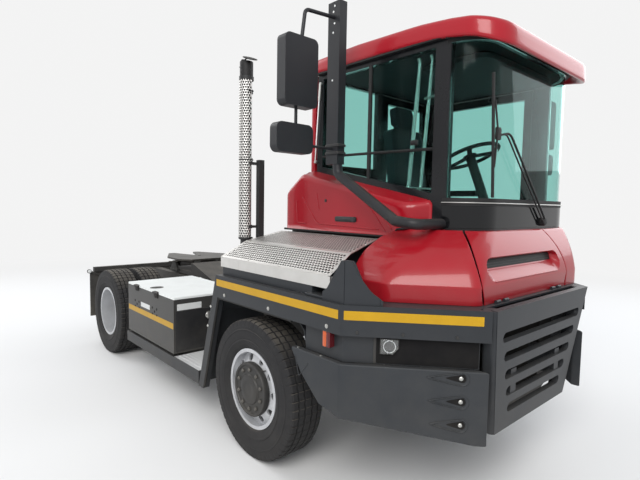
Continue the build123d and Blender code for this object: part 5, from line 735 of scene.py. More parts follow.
scoop_front, scoop_height = 0.736, 0.078
scoop_rims, scoop_mouths, scoop_screws, creases = [], [], [], []
for side in (-1, 1):
    (across, up), normal = corner_facing(side)
    ahead, up = across * -side, np.array(up)
    for height, length in ((0.930, 0.235), (0.795, 0.225), (0.660, 0.215)):
        centre = on_chamfer(side, scoop_front - length / 2, height)
        outline = teardrop(length, scoop_height)
        inner = outline * 0.80 + (0.006, 0)
        lifts = ((outline * 1.03, 0.0), (outline, 0.005), (outline * 0.93 + (0.002, 0), 0.007),
                 (inner, 0.0015), (inner * 0.98, -0.004))
        rings = np.array([centre + ring[:, 0:1] * ahead + ring[:, 1:2] * up + lift * normal
                          for ring, lift in lifts])
        scoop_rims.append((rings, grid_faces(len(lifts), len(outline), wrap_columns=True, caps=True)))
        # the mouth: a near-black slab set into the scoop, painted shade of its opening
        mouth = (inner * (0.60, 0.74) + (length * 0.165, 0.003)) * (-side, 1)
        scoop_mouths.append(slab(mouth, centre - normal * 0.002, (across, up), 0.0035))
        scoop_screws.append(screw_head(centre + ahead * (length * 0.30) + up * 0.004 + normal * 0.0015,
                                       normal, 0.012, 0.002, 0.008, 0.006, 18))
    corner = ((1.795, 0.925), (1.925, 0.905), (1.835, 0.800))
    path = bent([(x, side * (body_half + 0.0002), z) for x, z in corner + corner[:2]], 0.012)[3:-2]
    creases.append(tube(path, 0.0026, 6, reference=(0, 1, 0.02)))
    scoop_screws += [screw_head((x, side * (body_half - 0.022), 0.9745), (0, 0, 1), 0.009, 0.0015, 0.006,
                                0.005)
                     for x in (1.80, 2.02)]
add_piece("scoop_rims", scoop_rims, moulded_grey, sharp=50)
add_piece("scoop_mouths", scoop_mouths, shade_black)
add_piece("scoop_screws", scoop_screws, zinc)
add_piece("corner_creases", creases, moulded_grey)


# Step beams: folded channel along both sides, satin grey, with a chequer plate step behind each front wheel,
# its aluminium painted lighter than the sheet elsewhere as painted light on a step that lies in shade; the
# chequers are real raised lozenges in crossed rows.
dress(guard_grey, "step_beams")
round_edges(0.006, "step_beams", segments=3)
alu_sheet = coat_finish("aluminium_sheet", (0.70, 0.69, 0.67), (0.57, 0.56, 0.54), 0.36,
                        metallic=0.80, cloud=(6.0, 0.35), film=(0.9, 1.7, 0.05, 0.05),
                        grain=(220.0, 0.6, 6.0, 0.6), bump=0.10, bump_depth=0.002)
dress(alu_sheet, "rear_platform")
round_edges(0.004, "rear_platform")
# a lighter, less metallic copy of the aluminium sheet: painted light on the steps, which lie in shade
step_sheet_painted_light = coat_finish("step_sheet_painted_light", (0.86, 0.87, 0.88), (0.74, 0.74, 0.74), 0.42,
                         metallic=0.45, cloud=(6.0, 0.35), film=(0.9, 1.7, 0.03, 0.0))
step_x, step_rear_x, step_inner_y, step_outer_y, step_top_z = 0.470, -0.012, 0.905, 1.246, 0.4492
lozenge_pitch, lozenge_lean, last_x, last_y = 0.040, 0.785, step_x - 0.02, 1.230
lozenge = np.array(((-0.014, 0, 0), (0, -0.0035, 0), (0.014, 0, 0), (0, 0.0035, 0), (-0.009, 0, 0.002),
                    (0, -0.0016, 0.002), (0.009, 0, 0.002), (0, 0.0016, 0.002)))
lozenge_faces = [[3, 2, 1, 0], [4, 5, 6, 7], [0, 1, 5, 4], [1, 2, 6, 5], [2, 3, 7, 6], [3, 0, 4, 7]]
first_row = np.stack(np.meshgrid(np.arange(step_rear_x + 0.03, last_x, lozenge_pitch),
                                 np.arange(step_inner_y + 0.02, 1.235, lozenge_pitch)), axis=2).reshape(-1, 2)
plates = []
for side in (-1, 1):
    plates.append(block((step_rear_x, side * step_inner_y, step_top_z),
                        (step_x, side * step_outer_y, step_top_z + 0.0015)))
    for lean, shift in ((lozenge_lean, 0.0), (-lozenge_lean, lozenge_pitch / 2)):
        turned = lozenge @ np.array(Matrix.Rotation(lean, 3, "Z")).T
        plates += [(turned + (x, side * y, step_top_z + 0.0013), lozenge_faces)
                   for x, y in first_row + shift if x < last_x and y < last_y]
add_piece("chequer_steps", plates, step_sheet_painted_light, sharp=20)


# Battery box: grey steel box with a white lid, black rubber latches, a warning stripe, drilled air holes drawn
# as near-black discs of painted shade on both sides of a blank plate, and a dark door with a blank sign on its
# front end, darkened and enlarged as painted shade over the front face.
box_grey = coat_finish("box_grey_paint", (0.0310, 0.0315, 0.0320), (0.0400, 0.0400, 0.0390), 0.36,
                       cloud=(4.0, 0.3), film=(0.25, 1.30, 0.22, 0.10), grain=(260.0, 1.0, 4.0, 0.6),
                       bump=0.10)
dress(box_grey, "battery_box", "fuel_tank")
round_edges(0.005, "battery_box", segments=3)
round_edges(0.004, "fuel_tank", angle=50)
lid_white = coat_finish("lid_white_paint", (0.80, 0.83, 0.82), (0.72, 0.74, 0.73), 0.45,
                        cloud=(3.0, 0.4), film=(0.0, 0.9, 0.0, 0.12), grain=(200.0, 0.8, 3.0, 0.4), bump=0.08)
dress(lid_white, "battery_box_lid")
round_edges(0.004, "battery_box_lid", segments=3)
box_rear_x, box_front_x, box_y = -1.190, -0.017, -1.250
for side, hand in ((-1, "right"), (1, "left")):
    add_piece(f"box_stripe_{hand}", plate(box_front_x - box_rear_x - 0.024, 0.056, stripe_corner,
                                          ((box_front_x + box_rear_x) / 2, side * body_half, 0.733),
                                          side_facing[side], stripe_proud, steps=2), tape_yellow)
# air holes drawn as near-black discs: painted shade of the holes
hole_profile = ((0.0135, -0.001), (0.0135, 0.0008), (0.010, 0.0012))
hole_pattern = ((0, 0.828), (0.055, 0.796), (0, 0.764), (0.110, 0.828), (0.110, 0.764))
add_piece("box_air_holes", [lathe(hole_profile, (first_x + column, box_y, level), (0, -1, 0), 16)
                            for first_x in (-0.988, -0.520) for column, level in hole_pattern], shade_black)
plate_z, sign_z = 0.815, 0.910
add_piece("box_plates", [plate(0.235, 0.048, 0.004, (-0.702, box_y, plate_z), facing_right, 0.002, steps=2),
                         plate(0.250, 0.060, 0.005, (box_front_x, -1.092, sign_z), facing_front, 0.002,
                               steps=2)],
          plate_white)
rivet = ((0.004, 0.0), (0.004, 0.003), (0.001, 0.0042))
add_piece("box_rivets", [lathe(rivet, (x, box_y, plate_z), (0, -1, 0), 10) for x in (-0.812, -0.592)]
          + [lathe(rivet, (box_front_x, y, sign_z), (1, 0, 0), 10) for y in (-1.208, -0.976)], zinc)
# the door's own dark paint, made near-black, with the door plate made larger: painted shade over the box's
# front face
door_and_shade_dark = coat_finish("box_door_and_painted_shade", (0.007, 0.008, 0.011), (0.011, 0.012, 0.014), 0.35,
                        film=(0.3, 1.2, 0.15, 0.1))
add_piece("box_door", plate(0.730, 0.385, 0.012, (box_front_x, -0.868, 0.680), facing_front, 0.006, 0.003),
          door_and_shade_dark)
latch_y, latch_z = -0.896, 0.800
latch_cup = ((0.030, 0.0), (0.030, 0.004), (0.024, 0.008), (0.020, 0.005), (0.004, 0.005))
add_piece("box_latch", [lathe(latch_cup, (box_front_x + 0.006, latch_y, latch_z), (1, 0, 0), 28),
                        plate(0.030, 0.075, 0.009, (box_front_x + 0.011, latch_y, latch_z), facing_front,
                              0.010, 0.004)], zinc)
rubber_latches, latch_hooks = [], []
for x in (-0.926, -0.420):
    rubber_latches += [plate(0.090, 0.036, 0.008, (x, box_y, 0.962), facing_right, 0.012, 0.004),
                       plate(0.050, 0.030, 0.008, (x, box_y - 0.012, 0.962), facing_right, 0.006, 0.003)]
    latch_hooks.append(plate(0.128, 0.036, 0.010, (x, box_y - 0.0005, 0.9858), facing_up, 0.0222, 0.006))
add_piece("lid_latch_bases", rubber_latches, rubber_black)
hole_turn = np.linspace(0, 2 * np.pi, 33)[:-1]
grip_ring = np.stack((np.cos(hole_turn) * 0.058, np.sin(hole_turn) * 0.070), axis=1)
add_piece("lid_grip_hole", slab(grip_ring, (-0.643, -1.150, 1.0054), facing_up, 0.0015, 0.0004), rubber_black,
          body="battery_lid")
add_piece("lid_latch_hooks", latch_hooks, rubber_black, body="battery_lid")


# Tank on the left: folded and welded sheet with a turned filler cap, held by two zinc-plated steel straps
# bent round its section and bolted to the step beam.
cap_profile = ((0.058, -0.002), (0.062, 0.004), (0.062, 0.030), (0.056, 0.036), (0.030, 0.038),
               (0.028, 0.046), (0.004, 0.047))
add_piece("tank_cap", lathe(cap_profile, (-0.217, 1.070, 1.0152), (0, 0, 1), 40), frame_black)
strap_line = np.array(((0.4795, 0.55), (0.4795, 0.945), (0.520, 0.9860), (1.210, 0.9860), (1.2512, 0.945),
                       (1.2512, 0.51), (1.210, 0.4690)))
strap_middle, strap_share, strap_half = np.array((0.86, 0.73)), 0.9925, 0.025
inner_line = strap_middle + (strap_line - strap_middle) * strap_share
strap_ends = [[0, 7, 14, 21], [6, 13, 20, 27]]
straps = []
for strap_x in (-1.020, -0.180):
    rows = [np.insert(line, 0, strap_x + shift, axis=1) for line, shift in (
        (strap_line, -strap_half), (strap_line, strap_half), (inner_line, strap_half),
        (inner_line, -strap_half))]
    straps.append((np.array(rows), grid_faces(4, len(strap_line), wrap_rows=True) + strap_ends))
add_piece("tank_straps", straps, zinc)


# Deck over the right front wheel: perforated aluminium sheet folded along two creases, on a dark base box,
# with a bare folded skirt along its outer edge, welded corner strips and screws.
def perforated(surface, columns, rows, hole_share):
    """Sheet of square cells, every second row moved by half a cell, each with an eight-sided hole.

    surface maps (across, up) shares of the sheet, 0 to 1, to points; a hole's radius is a share of the cell.
    """
    edge = np.array(((-0.5, -0.5), (0, -0.5), (0.5, -0.5), (0.5, 0), (0.5, 0.5), (0, 0.5), (-0.5, 0.5),
                     (-0.5, 0)))
    turn = np.arctan2(edge[:, 1], edge[:, 0])
    hole = np.stack((np.cos(turn), np.sin(turn)), axis=1) * hole_share
    corner = np.arange(8)
    quads = np.stack((corner, (corner + 1) % 8, (corner + 1) % 8 + 8, corner + 8), axis=1).tolist()
    cells = [(np.concatenate((edge, hole)) + (column + 0.5 + 0.5 * (row % 2), row + 0.5), quads)
             for row in range(rows) for column in range(columns - row % 2)]
    # odd rows begin and end with half a cell
    ends = (np.array(((0, -0.5), (0.5, -0.5), (0.5, 0), (0.5, 0.5), (0, 0.5))),
            np.array(((0, -0.5), (0.5, -0.5), (0.5, 0.5), (0, 0.5), (0, 0))) + (columns - 0.5, 0))
    halves = [(end + (0, row + 0.5), [[0, 1, 2, 3, 4]]) for end in ends for row in range(1, rows, 2)]
    points, faces = [], []
    for shape_points, shape_faces in cells + halves:
        faces += [[index + len(points) for index in face] for face in shape_faces]
        points += shape_points.tolist()
    shares = np.array(points) / (columns, rows)
    return surface(shares[:, 0], shares[:, 1]), faces


dress(guard_grey, "deck_base")
round_edges(0.004, "deck_base")
deck_rear, deck_front, deck_front_inner = 0.764, 2.055, 1.905
deck_folds = np.array(((1.200, 1.467), (0.964, 1.586), (0.594, 1.663)))
deck_outer_y, deck_crease_y, deck_inner_y = deck_folds[:, 0]
fold_margin, panel_start, panel_spread, panel_lift = 0.022, 0.07, 0.86, 0.0004


def deck_end(y):
    """Front edge of the sheet: it slants back towards the middle."""
    slant = (deck_front_inner - deck_front) / (deck_outer_y - deck_inner_y)
    return deck_front + slant * (deck_outer_y - y)


def deck_panel(first, second):
    """Flat panel between two folds, lifted clear of the sheet's own margin."""
    def surface(share, up):
        spread = panel_start + panel_spread * up
        y = first[0] + (second[0] - first[0]) * spread
        z = first[1] + (second[1] - first[1]) * spread + panel_lift
        length = deck_end(y) - deck_rear - 2 * fold_margin
        return np.stack((deck_rear + fold_margin + length * share, -y, z), axis=1)
    return surface


def deck_point(y, front_share, lift=0.0):
    """Point on the folded sheet at a distance y from the middle, at a share of the length, lifted off it."""
    z = np.interp(-y, -deck_folds[:, 0], deck_folds[:, 1])
    return np.array((deck_rear + (deck_end(y) - deck_rear) * front_share, -y, z + lift))


def deck_strip(outer_y, inner_y, thickness, low=0.0, high=1.0, lift=0.0):
    """Flat strip of the sheet between two distances from the middle and two shares of the length."""
    top = np.array([deck_point(y, share, lift) for y, share in (
        (outer_y, low), (outer_y, high), (inner_y, high), (inner_y, low))])
    return np.array((top - (0, 0, thickness), top)), grid_faces(2, 4, wrap_columns=True, caps=True)


panels = [perforated(deck_panel(*folds), 46, rows, hole_share)
          for folds, rows, hole_share in ((deck_folds[:2], 9, 0.375), (deck_folds[1:], 13, 0.415))]
deck = add_piece("deck_perforated", panels, alu_sheet, stands_for=("deck_right",), sharp=80, merge=0.00002)
modifier(deck, "sheet", "SOLIDIFY", thickness=0.0012,
         offset=-1.0 if deck.data.polygons[0].normal.z > 0 else 1.0)
margins = [deck_strip(outer_y, inner_y, 0.0012) for outer_y, inner_y in (
    (deck_outer_y, 1.1835), (0.9805, deck_crease_y), (deck_crease_y, 0.938), (0.620, deck_inner_y))]
margins += [deck_strip(outer_y, inner_y, 0.0035, low, high, 0.0002)
            for outer_y, inner_y in ((deck_outer_y, deck_crease_y), (deck_crease_y, deck_inner_y))
            for low, high in ((0.0, 0.0176), (0.982, 1.0))]
# outer skirt, its welded seam, and the folded front and rear ends
margins += [block((deck_rear, -1.2000, 1.387), (deck_front, -1.1955, 1.466)),
            block((deck_rear + 0.262, -1.2012, 1.388), (deck_rear + 0.268, -1.1990, 1.466)),
            block((deck_front - 0.0045, -1.1975, 1.387), (deck_front, -1.120, 1.462)),
            block((deck_rear, -1.1975, 1.387), (deck_rear + 0.0045, -1.000, 1.467))]
add_piece("deck_margins", margins, alu_sheet, sharp=30)
screw_places = ((1.190, 0.30), (1.190, 0.60), (0.970, 0.02), (0.970, 0.60), (0.605, 0.10), (0.605, 0.60),
                (1.160, 0.988), (1.050, 0.988), (0.900, 0.988), (0.750, 0.988))
add_piece("deck_screws", [lathe(((0.008, 0.0), (0.007, 0.003), (0.001, 0.0045)), deck_point(y, share, 0.0002),
                                (0, 0, 1), 14) for y, share in screw_places], zinc)


# Under the sheet: a near-black sheet of painted shade that the holes show, and a folded corner gusset ahead of
# the deck, of painted
# steel plate: two corner plates welded at the kink and a bell-shaped one further in.
add_piece("deck_shade_sheet", [deck_strip(outer_y, inner_y, 0.003, 0.012, 0.988, -0.016)
                        for outer_y, inner_y in ((1.190, deck_crease_y), (deck_crease_y, deck_inner_y))],
          shade_black)
plate_foot = 1.3222
bell = np.array(((1.888, plate_foot), (1.974, 1.392), (2.010, 1.452), (2.034, 1.506), (2.050, 1.546),
                 (2.064, 1.558), (2.104, 1.561), (2.144, 1.561), (2.158, 1.552), (2.178, 1.520),
                 (2.222, 1.450), (2.262, 1.412), (2.310, 1.384), (2.366, 1.362), (2.366, plate_foot)))
side_plate = ((-0.185, 0), (0, 0), (0, 0.258), (-0.027, 0.254), (-0.065, 0.198), (-0.145, 0.078),
              (-0.185, 0.050))
front_plate = ((0, 0), (0.222, 0), (0.222, 0.028), (0.155, 0.078), (0.085, 0.168), (0.055, 0.223),
               (0.040, 0.253), (0, 0.258))
corner = (2.205, -1.222, plate_foot)
bell_middle = np.array((2.12, 1.44))
add_piece("deck_gusset", [
    slab(bell[::-1] - bell_middle, (bell_middle[0], -1.0865, bell_middle[1]), facing_right, 0.009, 0.0012),
    slab(side_plate, corner, facing_right, 0.005, 0.001),
    slab(front_plate, corner, (chamfer * (1, -1, 1), (0, 0, 1)), 0.005, 0.001)], guard_grey)


# Exhaust: stainless stack inside a perforated half-round heat shield, three band clamps, a black rain cap
# on a hinge, and a black bracket post on the deck base.
exhaust_x, exhaust_y, shield_radius, shield_low, shield_high = 0.660, -0.900, 0.0588, 1.610, 2.940
shield_middle, shield_angle = math.radians(-90), math.radians(210)
dress(frame_black, "exhaust")


def shield_surface(share, up):
    """Half cylinder round the stack, open towards the cab."""
    turn = shield_middle + (share - 0.5) * shield_angle
    return np.stack((exhaust_x + shield_radius * np.cos(turn), exhaust_y + shield_radius * np.sin(turn),
                     shield_low + (shield_high - shield_low) * up), axis=1)


def on_exhaust(x, y, z):
    """Point given from the stack's axis."""
    return exhaust_x + x, exhaust_y + y, z


shield = add_piece("exhaust_shield", perforated(shield_surface, 10, 62, 0.40), alu_sheet, sharp=80,
                   merge=0.00002)
modifier(shield, "sheet", "SOLIDIFY", thickness=0.0016, offset=1.0)
clamps = []
for clamp_z, half in ((1.602, 0.006), (2.270, 0.004), (2.948, 0.015)):
    band = ((0.057, -half), (0.062, -half), (0.062, half), (0.057, half))
    clamps.append(lathe(band, on_exhaust(0, 0, clamp_z), (0, 0, 1), ring=True))
add_piece("exhaust_clamps", clamps, frame_black)
sleeve = ((0.0530, 2.935), (0.0560, 2.938), (0.0560, 3.080), (0.0540, 3.086), (0.0500, 3.086), (0.0490, 2.96))
flap_profile = ((0.060, 0.0), (0.062, 0.001), (0.062, 0.004), (0.060, 0.005))
flap_lean = np.array((0.42, -0.10, 0.90)) / np.linalg.norm((0.42, -0.10, 0.90))
add_piece("exhaust_cap_sleeve", [
    lathe(sleeve, on_exhaust(0, 0, 0), (0, 0, 1), 40, ring=True),
    tube((on_exhaust(0.062, -0.02, 2.840), on_exhaust(0.062, 0.03, 2.840)), 0.005, 8),
    lathe(flap_profile, on_exhaust(0.052, 0, 3.102), flap_lean, 40),
    block(on_exhaust(-0.070, -0.010, 3.088), on_exhaust(-0.045, 0.010, 3.118)),
    tube((on_exhaust(-0.058, 0, 3.104), on_exhaust(0.02, 0, 3.118)), 0.006, 8)], rubber_black)


# Side hood: glass fibre shell beside the cab in glossy red, with pressed-in fold lines, a dark grip, a key
# hole and a black rubber seal along its foot; it lifts off over the engine.
def open_sheet(name, grid, material, body="chassis", stands_for=(), thickness=0.006, inside=(0, 0, 0)):
    """Single skin turned to face away from an inner point, given its thickness inwards."""
    made = add_piece(name, (grid, grid_faces(*grid.shape[:2])), material, body, stands_for, sharp=50)
    mesh = made.data
    if sum(face.normal.dot(face.center - Vector(inside)) * face.area for face in mesh.polygons) < 0:
        mesh.flip_normals()
    modifier(made, "skin", "SOLIDIFY", thickness=thickness, offset=-1.0)
    modifier(made, "edge", "BEVEL", width=thickness * 0.3, segments=2, limit_method="ANGLE",
             angle_limit=math.radians(50))


def path_reach(points):
    """Distance along a path at each of its points."""
    return np.concatenate(([0.0], np.cumsum(np.linalg.norm(np.diff(points, axis=0), axis=1))))


red_paint = coat_finish("red_gelcoat", (0.33, 0.0030, 0.012), (0.29, 0.0026, 0.010), 0.30,
                        coat=0.35, coat_roughness=0.06, cloud=(1.5, 0.3), film=(1.25, 1.75, 0.08, 0.06),
                        grain=(60.0, 0.15, 2.2, 1.0), bump=0.10, bump_depth=0.004)
hood_face_y, hood_cab_y, hood_back_y, hood_back_x = -0.590, -0.4505, 0.120, 1.064
side_hood_x = (0.800, 1.022, 2.030, 2.265)
side_hood_outer_z, side_hood_inner_z = (1.985, 2.144, 1.929, 1.885), (2.010, 2.190, 1.982, 1.932)
side_hood_plan = ((hood_back_x, hood_back_y), (0.800, hood_back_y), (0.800, hood_face_y),
                  (2.128, hood_face_y), (2.248, hood_cab_y))
side_hood_foot = ((2.020, 2.062, 2.250), (1.690, 1.745, 1.768))
side_hood_edge = 0.036


def side_hood_top(x, y):
    """Height of the top: highest behind the cab, falling forward, and a little towards the outer face."""
    outer, inner = np.interp(x, side_hood_x, side_hood_outer_z), np.interp(x, side_hood_x, side_hood_inner_z)
    return outer + (inner - outer) * np.clip((y - hood_face_y) / (hood_cab_y - hood_face_y), 0, 1)


def side_hood_grid():
    """Rows from the foot up the walls, over a quarter-round edge and in to the cab, along the plan outline."""
    plan = bent(side_hood_plan, 0.075, 8)
    reach = path_reach(plan)
    marks = np.unique(np.concatenate((reach, np.linspace(0, reach[-1], 100))))
    x, y = np.interp(marks, reach, plan[:, 0]), np.interp(marks, reach, plan[:, 1])
    way = np.stack((np.gradient(x), np.gradient(y)), axis=1)
    way /= np.linalg.norm(way, axis=1, keepdims=True)
    low = np.interp(x, *side_hood_foot)
    shoulder = side_hood_top(x, y) - side_hood_edge
    rows = [np.column_stack((x, y, low + (shoulder - low) * share)) for share in np.linspace(0, 1, 9)]
    for turn in np.linspace(0, np.pi / 2, 8)[1:]:
        inset = side_hood_edge * (1 - math.cos(turn))
        inner_x, inner_y = x - way[:, 1] * inset, y + way[:, 0] * inset
        inner_y = np.where(inner_x > hood_back_x, np.minimum(inner_y, hood_cab_y), inner_y)
        z = side_hood_top(inner_x, inner_y) - side_hood_edge * (1 - math.sin(turn))
        rows.append(np.column_stack((inner_x, inner_y, z)))
    # the top runs in to the cab's corner: each corner of the plan has its mark along the cab's walls
    ring = rows[-1]
    corner_marks = [marks[np.argmin(np.hypot(x - px, y - py))] for px, py in side_hood_plan]
    goal = np.interp(marks, corner_marks, (0.0, 0.04, 0.56, 1.59, 1.66))
    rear_y, wall_length = hood_back_y - side_hood_edge, 1.70
    goal_reach = (0.0, rear_y - hood_cab_y, wall_length)
    goal_x = np.interp(goal, goal_reach,
                       (hood_back_x, hood_back_x, hood_back_x + wall_length - goal_reach[1]))
    goal_y = np.interp(goal, goal_reach, (rear_y, hood_cab_y, hood_cab_y))
    for share in (0.3, 0.6, 0.85, 1.0):
        inner_x = ring[:, 0] + (goal_x - ring[:, 0]) * share
        inner_y = ring[:, 1] + (goal_y - ring[:, 1]) * share
        rows.append(np.column_stack((inner_x, inner_y, side_hood_top(inner_x, inner_y))))
    return np.array(rows)


def on_hood(x, z, proud=0.0):
    """Point on the side hood's outer face, or standing off it."""
    return x, hood_face_y - proud, z


open_sheet("side_hood_skin", side_hood_grid(), red_paint, stands_for=("side_hood",), inside=(1.3, -0.3, 1.8))
fold_lines = (
    ((0.975, 1.930), (0.990, 1.745), (1.020, 1.743), (1.105, 1.743)),
    ((1.052, 1.960), (1.243, 1.744), (1.560, 1.738), (1.900, 1.727)),
    ((1.733, 1.954), (1.854, 1.844), (1.961, 1.716)),
    ((1.830, 1.925), (1.930, 1.835), (2.020, 1.735)),
    ((1.230, 1.990), (1.250, 1.900), (1.262, 1.860)))
add_piece("side_hood_folds", [tube(bent([on_hood(x, z, -0.001) for x, z in line], 0.05, 8), 0.0062, 8,
                                   reference=(0.02, 1, 0.03)) for line in fold_lines], red_paint)
grip_dark = coat_finish("grip_plastic", (0.022, 0.023, 0.026), (0.030, 0.031, 0.033), 0.45,
                        film=(1.3, 2.0, 0.1, 0.1))
grip_z = 1.790
add_piece("side_hood_grip", [
    plate(0.230, 0.040, 0.015, on_hood(1.568, grip_z), facing_right, 0.010, 0.005),
    plate(0.185, 0.022, 0.010, on_hood(1.560, grip_z, 0.010), facing_right, 0.006, 0.004),
    lathe(((0.020, 0.0), (0.020, 0.014), (0.016, 0.019), (0.004, 0.020)), on_hood(1.660, grip_z), (0, -1, 0),
          28)],
    grip_dark)
key_hole = ((0.012, -0.001), (0.012, 0.003), (0.008, 0.0045), (0.001, 0.0046))
add_piece("side_hood_lock", lathe(key_hole, on_hood(1.340, 1.931), (0, -1, 0), 20), grip_dark)
foot_line = [on_hood(x, z, -0.006) for x, z in ((0.802, 1.684), (1.4, 1.684), (2.030, 1.684), (2.060, 1.738))]
foot_line += [on_hood(2.118, 1.746, -0.008), (2.236, -0.462, 1.762)]
add_piece("side_hood_seal", tube(foot_line, 0.009, 8), rubber_black)


# Front hood: one moulded red shell round the cab's nose with a bulging skin, parted by a tilting flap in
# its middle; the flap has a scooped air inlet with a near-black sheet behind it, the mesh and painted shade
# inside the inlet.
hood_low, hood_band, hood_top, hood_skin = 1.3225, 1.430, 1.740, 0.008
hood_base = np.array(((2.092, -0.9765), (2.303, -0.9765), (2.7275, -0.640), (2.7275, 0.815), (2.660, 0.8575),
                      (2.453, 0.8575)))
hood_crown = np.array(((2.092, -0.560), (2.300, -0.560), (2.602, -0.400), (2.602, 0.845), (2.586, 0.8575),
                       (2.500, 0.8575)))
cab_core_x, cab_front_x, cab_right_y, cab_left_y = 1.5, 2.580, -0.454, 1.154
cab_right_radius, cab_left_radius, cab_middle_y = 0.254, 0.404, 0.35
seam_half_gap, seam_swing = 0.004, 0.584
hood_middle = (2.3, 0.0, 1.45)
# rear edge on the right, heights and distances: along the deck's slanting front, then under the side hood
hood_rear = ((1.430, 1.600, 1.685, 1.740), (2.014, 1.975, 1.990, 2.050))


def hood_curve(z):
    """Plan line of the skin at a height: straight band, then drawn in to the crown by 0.4 s + 0.6 s ** 2."""
    share = np.clip((z - hood_band) / (hood_top - hood_band), 0, 1)
    corners = hood_base + (hood_crown - hood_base) * (0.40 * share + 0.60 * share ** 2)
    corners[0, 0] = np.interp(z, *hood_rear)
    curve = bent(corners, 0.045 + 0.11 * share, 10)
    return curve, path_reach(curve)


def hood_patch(levels, start_y, end_y, columns):
    """Grid of skin points; each level runs between two distances across, or to the skin's end where None."""
    rows = []
    for z in levels:
        curve, reach = hood_curve(z)
        first, last = (end if target is None else np.interp(target(z), curve[4:, 1], reach[4:])
                       for target, end in ((start_y, 0.0), (end_y, reach[-1])))
        along = first + (last - first) * columns
        rows.append(np.stack((np.interp(along, reach, curve[:, 0]), np.interp(along, reach, curve[:, 1]),
                              np.full(len(along), z)), axis=1))
    return np.array(rows)


def to_cab(points):
    """Nearest points on the cab's plan outline, whose right and left front corners have their own radii."""
    radius = np.where(points[:, 1] < cab_middle_y, cab_right_radius, cab_left_radius)
    core = np.stack((np.clip(points[:, 0], cab_core_x, cab_front_x - radius),
                     np.clip(points[:, 1], cab_right_y + radius, cab_left_y - radius), points[:, 2]), axis=1)
    away = points - core
    return core + away / np.maximum(np.linalg.norm(away, axis=1, keepdims=True), 1e-9) * radius[:, None]


def over_the_top(grid):
    """Adds the rounded shoulder, rows (distance in, rise), and the flat top that runs in to the cab."""
    last = grid[-1]
    inner = to_cab(last)
    gap = np.linalg.norm(inner - last, axis=1, keepdims=True)
    extra = [last + (inner - last) * np.minimum(step / np.maximum(gap, 1e-6), 0.8)
             for step in (0.006, 0.016, 0.03)]
    extra = np.array(extra + [inner])
    extra[:, :, 2] = hood_top + np.array((0.003, 0.0055, 0.006, 0.006))[:, None]
    return np.concatenate((grid, extra))


def seam(z, gap):
    """Half width of the flap: it bows out a little over the band and closes in towards the top."""
    share = (z - hood_low) / (hood_top - hood_low)
    return 0.597 + 0.135 * share - 0.277 * share ** 2 + gap


def flap_edge(z):
    """Half width of the flap with the room that its swing needs low down."""
    return np.minimum(seam(z, -seam_half_gap), seam_swing + 0.35 * max(z - 1.350, 0))


def scoop_in(y, z):
    """How far the skin is pressed in: up the shelf from the lower lip, steeply back at the top and ends."""
    middle, radius = (scoop_low + scoop_high) / 2, (scoop_high - scoop_low) / 2
    reach = np.clip(np.abs(y) - (scoop_half - radius), 0, radius)
    half = np.sqrt(np.maximum(radius ** 2 - reach ** 2, 0))
    from_low, from_high = z - (middle - half), (middle + half) - z
    end = np.clip((scoop_half - np.abs(y)) * 2.0, 0, None)
    depth = np.minimum(np.minimum(from_low * 0.80, from_high * 5.0), np.minimum(end, scoop_depth))
    return np.clip(depth, 0, scoop_depth)


band_levels = (1.350, 1.385, 1.412, 1.424, 1.430, 1.436)
hood_levels = np.concatenate(([hood_low, *band_levels, 1.448], np.linspace(1.47, 1.738, 20)))
right_side = hood_patch(hood_levels, None, lambda z: -seam(z, seam_half_gap), np.linspace(0, 1, 48))
left_side = hood_patch(hood_levels, lambda z: seam(z, seam_half_gap), None, np.linspace(0, 1, 24))
open_sheet("front_hood_skin", over_the_top(right_side), red_paint, stands_for=("front_hood",),
           thickness=hood_skin, inside=hood_middle)
open_sheet("front_hood_left", over_the_top(left_side), red_paint, thickness=hood_skin, inside=hood_middle)

# the flap's skin is pressed in along a stadium, deepest at the mesh, with a soft lower shelf
scoop_low, scoop_high, scoop_half, scoop_depth = 1.452, 1.590, 0.520, 0.052
flap_levels = np.concatenate(([hood_low + 0.0006, *band_levels], np.linspace(1.444, 1.600, 44),
                              np.linspace(1.608, 1.738, 14)))
flap_columns = np.unique(np.concatenate((np.linspace(0, 0.14, 22), np.linspace(0.14, 0.86, 60),
                                         np.linspace(0.86, 1, 22))))
flap_grid = hood_patch(flap_levels, lambda z: -flap_edge(z), flap_edge, flap_columns)
flap_grid[:, :, 0] -= scoop_in(flap_grid[:, :, 1], flap_grid[:, :, 2])
open_sheet("front_flap_skin", over_the_top(flap_grid), red_paint, body="hood_flap",
           stands_for=("front_hood_flap",), inside=hood_middle)
# near-black sheet behind the slats: the inlet's dark mesh together with painted shade of the opening
inlet_mesh_and_shade = coat_finish("inlet_mesh", (0.006, 0.006, 0.007), (0.012, 0.012, 0.012), 0.5,
                        metallic=0.3)
mesh_grid = hood_patch(np.linspace(1.523, 1.5765, 12), lambda z: -0.478, lambda z: 0.478,
                       np.linspace(0, 1, 90))
mesh_grid[:, :, 0] -= scoop_depth - 0.004
open_sheet("inlet_mesh", mesh_grid, inlet_mesh_and_shade, body="hood_flap", thickness=0.002, inside=hood_middle)


def hood_nose_x(z):
    """Distance forward of the skin at its middle."""
    return hood_curve(z)[0][20, 0]


slats = []
for z in (1.534, 1.550, 1.566):
    x = hood_nose_x(z) - scoop_depth + 0.004
    slats.append(tube([(x, y, z) for y in (-0.462, 0.0, 0.462)], 0.0032, 8))
add_piece("inlet_slats", slats, frame_black, body="hood_flap")
lip_z = scoop_low - 0.004
lip = [(hood_nose_x(lip_z) + 0.0005, y, lip_z) for y in np.linspace(-0.455, 0.455, 9)]
add_piece("inlet_lip", tube(lip, 0.0045, 8), red_paint, body="hood_flap")
add_piece("hood_bolts", screw_head((2.230, -0.9765, 1.340), (0, -1, 0), 0.010, 0.002, 0.006, 0.006), zinc)


